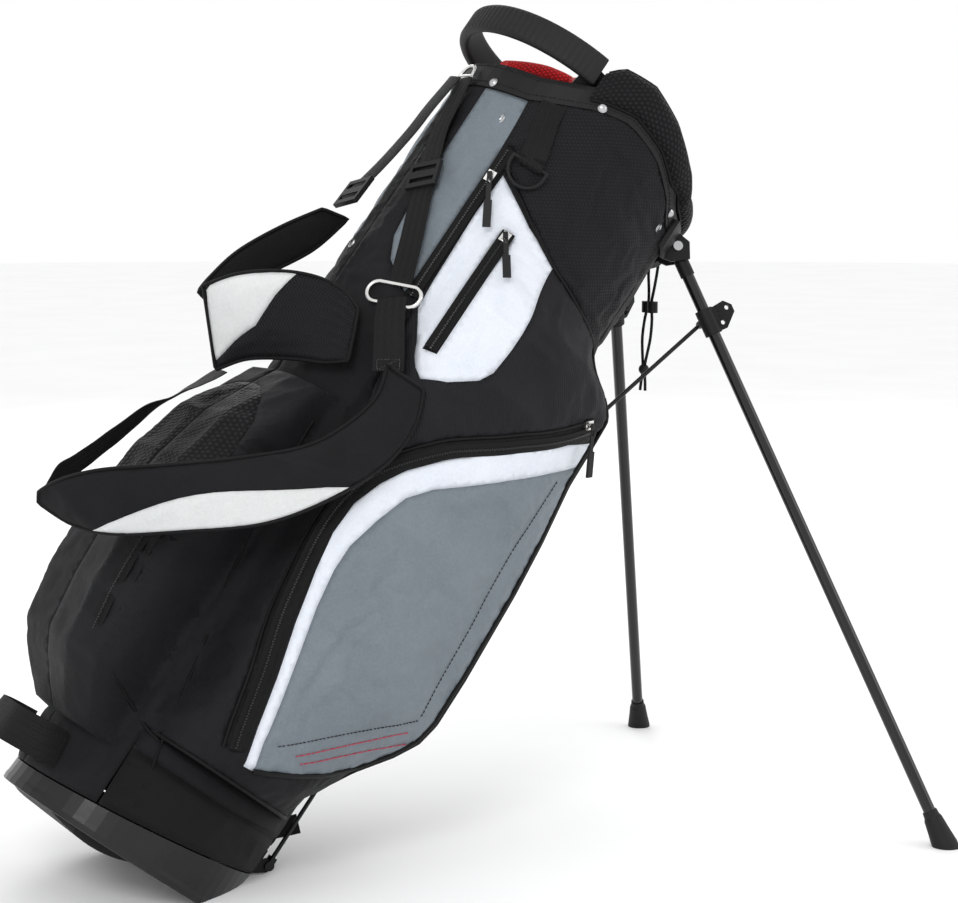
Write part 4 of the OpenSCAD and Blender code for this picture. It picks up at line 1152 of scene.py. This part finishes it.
# ---------- straps ----------
def add_straps():
    near = spline([(-149, -6, 828), (-147, -14, 790), (-145, -22, 757), (-140, -44, 712), (-133, -58, 675),
                   (-124, -70, 639), (-114, -79, 600)], 6)
    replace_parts(strap("near_strap", near, outward, 25.0, 2.0), "near_webbing")
    low = spline([(-114, -82, 584), (-108, -96, 560), (-99, -110, 536), (-92, -121, 516)], 6)
    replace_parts(strap("lower_strap", low, outward, 30.0, 2.0), "lower_webbing")
    back = spline([(-286, -60, 236), (-282, -48, 253), (-268, -32, 274), (-240, 2, 321), (-216, 30, 366),
                   (-196, 38, 400), (-182, 40, 424), (-171, 40, 446)], 6)
    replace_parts(strap("rear_strap", back, (-0.8, 0, -0.55), 30.0, 2.0), "back_strap")
    far = spline([(-153, 8, 828), (-156, 11, 790), (-158, 14, 750), (-162, 20, 705), (-168, 32, 660)], 6)
    strap("far_strap", far, (-1, 0, 0), 25.0, 2.0)
    loop = spline([(-125, -50, 52), (-150, -52, 50), (-172, -30, 48), (-176, 0, 48), (-172, 30, 48),
                   (-150, 52, 50), (-125, 50, 52)], 8)
    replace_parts(strap("base_loop", loop, lambda q: Vector((q[0] + 60, q[1], 0)).normalized(), 36.0, 2.4),
                "carry_handle")
    band = [on_body(a, 96, 2.2) for a in range(-15, 16, 2)]
    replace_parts(strap("rod_band", band, outward, 25.0, 2.0), "leg_strap")
    tab = spline([(132, -8, 98), (141, -11, 107), (150, -15, 117)], 5)
    strap("rod_band_tab", tab, (0.75, 0, 0.6), 20.0, 2.0)
    add_towel_loop()
    box = [(-0.85, 0.12), (0.85, 0.12), (0.85, 0.88), (-0.85, 0.88), (-0.85, 0.12), (0.85, 0.88)]
    a, b = low[-5], low[-1]
    out = outward((a + b) / 2)
    side = (b - a).normalized().cross(out)
    stitches("lower_box", [[a.lerp(b, y) + side * (x * 13.0) + out * 1.3 for x, y in box]], out,
             pitch=3.2, long=2.4, thick=0.6)


TOWEL_A, TOWEL_N, TOWEL_FACE = -127.0, 771.0, -121.0


def add_towel_loop():
    c, s = dir2(TOWEL_A)
    r = body_radius(TOWEL_A, TOWEL_N) + 8
    centre = Vector((c * r, s * r, TOWEL_N))
    out = Vector((*dir2(TOWEL_FACE), 0))
    up = Vector((0, 0, 1))
    path = spline([on_body(-133, 838, 4), on_body(-132, 820, 4.6), on_body(-130, 800, 3.4)], 4)
    path += [centre + out * (3.6 * math.cos(math.radians(t))) + up * (3.6 * math.sin(math.radians(t)))
             for t in range(60, -250, -20)]
    outs = []
    p = even(path, 2.0)
    for q in p:
        near = (q - centre).length < 6
        outs.append((q - centre).normalized() if near else outward(q))
    rings = [[at(x) for x in ring] for ring in strap_rings(p, outs, 26.0, 1.6)]
    verts, faces, uvs = loft(rings)
    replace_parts(piece("towel_strap", verts, faces, "webbing", "bag", uvs), "towel_loop")


# ---------- shoulder pads ----------
def pad_frame(upper, lower):
    """Functions that give a pad's edge points and outer direction, by the share t along it."""
    up, low = even(spline(upper, 6), 4.0), even(spline(lower, 6), 4.0)

    def pick(line, t):
        x = clamp(t) * (len(line) - 1)
        i = min(int(x), len(line) - 2)
        return line[i].lerp(line[i + 1], x - i)

    def look(t):
        a, b = pick(up, t), pick(low, t)
        m0 = (pick(up, t - 0.02) + pick(low, t - 0.02)) / 2
        m1 = (pick(up, t + 0.02) + pick(low, t + 0.02)) / 2
        out = (b - a).cross(m1 - m0).normalized()
        if out.dot(outward((a + b) / 2)) < 0:
            out = -out
        return a, b, out
    length = sum((q - p).length for p, q in zip(up, up[1:]))
    return look, length


def add_pad(tag, upper, lower, thick, front, back, node, taper=0.4, puff=1.2, cloth=None):
    """A sewn shoulder pad: an outer and an inner face that meet in a bound edge. Flat y is 100 across."""
    look, length = pad_frame(upper, lower)
    wide = 100.0

    def face(sign):
        def place(x, y, lift):
            t, s = x / length, y / wide
            a, b, out = look(t)
            ends = min(1.0, taper + min(t, 1 - t) * 5)
            crown = thick / 2 * ends * (1 - abs(2 * clamp(s) - 1) ** 2.4) ** 0.5
            rim = clamp(min(t, 1 - t) * 12)
            return tuple(a.lerp(b, s) + out * (sign * (crown * rim ** 0.5 + lift * ends * 0.8 - 0.3)))
        return place
    region = [(length * i / 20, 0.0) for i in range(21)] + [(length * i / 20, wide)
                                                            for i in range(20, -1, -1)]
    outer = sewn(f"{tag}_outer", region, front(length), face(1), step=5.5, puff=puff, ripple=0.5, thick=1.0,
                 cloth=cloth)
    sewn(f"{tag}_inner", region, back(length), face(-1), step=6.0, puff=puff, ripple=0.5, thick=1.0,
         cloth=cloth)
    edge = [look(i / 40)[0] for i in range(41)] + [look(i / 40)[1] for i in range(40, -1, -1)]
    tube(f"{tag}_binding", even(edge, 5.0, closed=True), 2.0, "piping", closed=True)
    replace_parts(outer[-1], node)
    return outer


NEAR_UP = [(-102, -132, 518), (-95, -138, 488), (-107, -145, 449), (-130, -142, 406), (-180, -136, 358),
           (-231, -127, 315), (-270, -108, 281), (-288, -85, 255), (-291, -62, 236)]
NEAR_LOW = [(-65, -153, 517), (-59, -167, 481), (-66, -176, 435), (-91, -171, 378), (-126, -153, 324),
            (-183, -135, 275), (-225, -112, 241), (-252, -82, 228), (-284, -58, 228)]
FAR_UP = [(-247, 12, 497), (-233, -12, 523), (-203, -28, 549), (-170, -38, 565), (-145, -50, 566),
          (-131, -68, 558)]
FAR_LOW = [(-188, 10, 438), (-178, -13, 460), (-159, -34, 477), (-143, -56, 488), (-132, -73, 494),
           (-120, -92, 506)]
BAND_UP = [(-152, 36, 648), (-162, 42, 602), (-187, 45, 553), (-206, 36, 515), (-214, 24, 488)]
BAND_LOW = [(-180, 38, 640), (-204, 42, 600), (-226, 45, 553), (-238, 36, 512), (-243, 26, 492)]


def near_faces(length):
    lens = [(length * t, 98 - 52 * math.sin(math.pi * (t - 0.3) / 0.56) ** 0.8) for t in
            [0.3 + 0.56 * i / 14 for i in range(15)]]
    return [("lens", lens + [(length * 0.86, 99.0), (length * 0.3, 99.0)], "pad_white"),
            ("cloth", None, "nylon")]


def far_faces(length):
    white = [(1.5, 0.6), (length * 0.56, 0.6), (length * 0.44, 28), (length * 0.32, 62), (length * 0.1, 84),
             (1.5, 90)]
    return [("lens", white, "pad_white"), ("cloth", None, "chevron")]


def add_pads():
    add_pad("near_pad_cloth", NEAR_UP, NEAR_LOW, 13.0, near_faces, lambda _: [("mesh", None, "mesh")],
            "near_pad",
            cloth=(0.012, 1.5, 4.0))
    add_pad("far_pad_cloth", FAR_UP, FAR_LOW, 11.0, far_faces, lambda _: [("mesh", None, "mesh")],
            "far_pad",
            taper=0.45, cloth=(0.012, 1.5, 3.0))
    add_pad("far_band", BAND_UP, BAND_LOW, 6.0, lambda _: [("cloth", None, "webbing")],
            lambda _: [("cloth", None, "webbing")], "far_webbing", taper=0.5, puff=0.4)


# ---------- collar cuff, bail and dividers ----------
CUFF_HALF = 122.0
CUFF_TALL = [(0, 6), (45, 18), (78, 17), (100, 22), (116, 26), (122, 18)]


def cuff_section(a):
    foot = collar_high(a) + 0.5
    low = collar_low(a) + lookup(turn(a), [(0, 23), (54, 23), (64, 10)])
    top = collar_high(a) + lookup(turn(a), CUFF_TALL)
    h = top - low
    puff = mix(2.4, 9, smooth((CUFF_HALF - abs(a)) / 16))
    pts = [(low, 2.9), (low + 0.15 * h, 2.9 + puff * 0.7), (low + 0.45 * h, 3 + puff),
           (low + 0.8 * h, 2.5 + puff * 0.9),
           (top, puff * 0.4 - 1), (mix(foot, top, 0.9), -5), (foot, -6), (foot, 2.9)]
    return [on_body(a, n, out) for n, out in pts]


def add_cuff():
    rings = []
    for i in range(123):
        a = mix(CUFF_HALF, -CUFF_HALF, i / 122)
        p = [Vector(q) for q in cuff_section(a)]
        outer = spline(p[:6], 4)
        ring = outer + [p[6], p[7]]
        dip = 0.6 * noise.noise(Vector((a * 0.06, 4.0, 0)))
        rings.append([at(q + outward(q) * (dip if 2 < j < 18 else 0)) for j, q in enumerate(ring)])
    verts, faces, uvs = loft(rings)
    obj = piece("mesh_cuff", verts, faces, "mesh", "bag", uvs)
    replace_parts(obj, "collar_cuff")
    for key, j in (("cuff_low_binding", 0), ("cuff_top_binding", 4)):
        line = []
        for i in range(81):
            a = mix(-CUFF_HALF + 1, CUFF_HALF - 1, i / 80)
            q = Vector(cuff_section(a)[j])
            line.append(q + outward(q) * (0.4 if j == 0 else -0.6))
        tube(key, line, 1.5, "piping")
    stitches("collar_stitch", [[on_body(a, collar_low(a) + 6, 2.9) for a in range(-180, 181, 2)],
                               [on_body(a, collar_high(a) - 5, 2.9) for a in range(124, 237, 2)]], outward,
             "thread", pitch=4.5, long=3.2, thick=0.8, lift=0.6)


HANDLE_R, HANDLE_U, HANDLE_N, HANDLE_ARC = 105.0, -60.0, 893.0, 83.0
RIB_PITCH = 6.5


def add_bail():
    """The carrying bail: a padded strap with cross ribs on its outer face."""
    rings = []
    length = math.radians(2 * HANDLE_ARC) * HANDLE_R
    count = int(length / 1.1)
    for i in range(count + 1):
        a = 180 - HANDLE_ARC + 2 * HANDLE_ARC * i / count
        c, s = dir2(a)
        wave = math.sin(2 * math.pi * i * (length / count) / RIB_PITCH)
        rib = 0.9 * max(0.0, wave) ** 0.5 if 6 < i < count - 6 else 0
        ring = []
        for x, y in ((-5.5, -10), (-5.5, 0), (-5.5, 10), (-4.7, 14), (-2.5, 15.6), (0, 16), (2.5, 15.6),
                     (4.2, 14), (4.6 + rib, 11.5), (4.6 + rib, 4), (4.6 + rib, -4), (4.6 + rib, -11.5),
                     (4.2, -14), (2.5, -15.6), (0, -16), (-2.5, -15.6), (-4.7, -14)):
            r = HANDLE_R + x
            ring.append(at((HANDLE_U + c * r, s * r, HANDLE_N + y)))
        rings.append(ring)
    verts, faces, uvs = loft(rings)
    obj = piece("ribbed_bail", verts, faces, "rubber", "bag", uvs)
    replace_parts(obj, "top_handle")
    for side in (-1, 1):
        a = side * (180 - HANDLE_ARC)
        c, s = dir2(a)
        u, v = HANDLE_U + c * HANDLE_R, s * HANDLE_R
        path = [(u - 2.0, v - side * 9, HANDLE_N - 47), (u - 2.0, v - side * 9, HANDLE_N - 24),
                (u - 1.0, v - side * 4.5, HANDLE_N - 10), (u, v, HANDLE_N + 2)]
        name = f"{'near' if side < 0 else 'far'}_bail_foot"
        strap(name, spline(path, 5), (c, s, 0), 24.0, 5.0, sway=0)


def dome(u, v):
    """Height of the crowned divider top."""
    return 912 - 45 * ((u + 30) / 100) ** 2 - 22 * (v / 100) ** 2


DIVIDER_W = 20.0
BARS = (-45.0, 45.0)


def divider_bar(name, ends, drop):
    """A padded divider top between two points, crowned and softly lumpy."""
    (u0, v0), (u1, v1) = ends
    along = Vector((u1 - u0, v1 - v0, 0))
    side = along.normalized().cross(Vector((0, 0, 1)))
    rings = []
    count = max(6, int(along.length / 4))
    for i in range(count + 1):
        t = i / count
        u, v = mix(u0, u1, t), mix(v0, v1, t)
        top = dome(u, v) - drop
        ring = []
        for k in range(20):
            w = 2 * math.pi * k / 20
            x, y = math.cos(w), math.sin(w)
            lump = 1 + 0.05 * noise.noise(Vector((u * 0.05, v * 0.05, k * 0.3)))
            half = DIVIDER_W / 2 * lump * math.copysign(abs(x) ** 0.7, x)
            h = 13.6 * lump * (abs(y) ** 0.8) if y > 0 else -13.0 * abs(y) ** 0.5
            ring.append(at((u + side.x * half, v + side.y * half, top + h)))
        rings.append(ring)
    verts, faces, uvs = loft(rings)
    obj = piece(name, verts, faces, "red", "bag", uvs)
    return obj


def add_dividers():
    main = divider_bar("divider_top", ((-120.5, 0), (116.5, 0)), 14)
    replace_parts(main, "divider_pad")
    for u in BARS:
        for s in (-1, 1):
            name = f"divider_cross_{'a' if u < 0 else 'b'}{'n' if s < 0 else 'f'}"
            divider_bar(name, ((u, s * 8.0), (u, s * 97.5)), 15)
            divider_sheet(name.replace("cross", "panel"), (u, s * 1.2), (u, s * 96.0))
    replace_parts(divider_sheet("divider_panel", (-120.0, 0.0), (114.0, 0.0)), "divider_panels")
    rows = []
    for i in range(13):
        row = []
        for a in range(0, 361, 8):
            c, s = dir2(a)
            r = body_radius(a, 75) - 5.2
            row.append(at((c * r * i / 12 + 0.01, s * r * i / 12, 79.5)))
        rows.append(row)
    grid_piece("divider_floor", rows, "liner", 2.0)


def divider_sheet(name, a, b):
    rows = []
    count = max(4, int(math.dist(a, b) / 10))
    side = Vector((b[1] - a[1], a[0] - b[0], 0)).normalized()
    for i in range(41):
        row = []
        for j in range(count + 1):
            u, v = mix(a[0], b[0], j / count), mix(a[1], b[1], j / count)
            n = mix(80, dome(u, v) - 27.6, i / 40)
            sway = 1.6 * noise.noise(Vector((u * 0.02, v * 0.02, n * 0.008))) * math.sin(math.pi * i / 40)
            row.append(at((u + side.x * sway, v + side.y * sway, n)))
        rows.append(row)
    return grid_piece(name, rows, "liner", 1.4)


add_camera()
add_cords()
add_studio()
finish_hard_parts()
add_side(-1)
add_side(1)
add_front()
add_gussets(-1)
add_gussets(1)
add_liner()
add_piping()
add_stitching()
add_zips()
add_snaps()
add_straps()
add_pads()
add_cuff()
add_bail()
add_dividers()
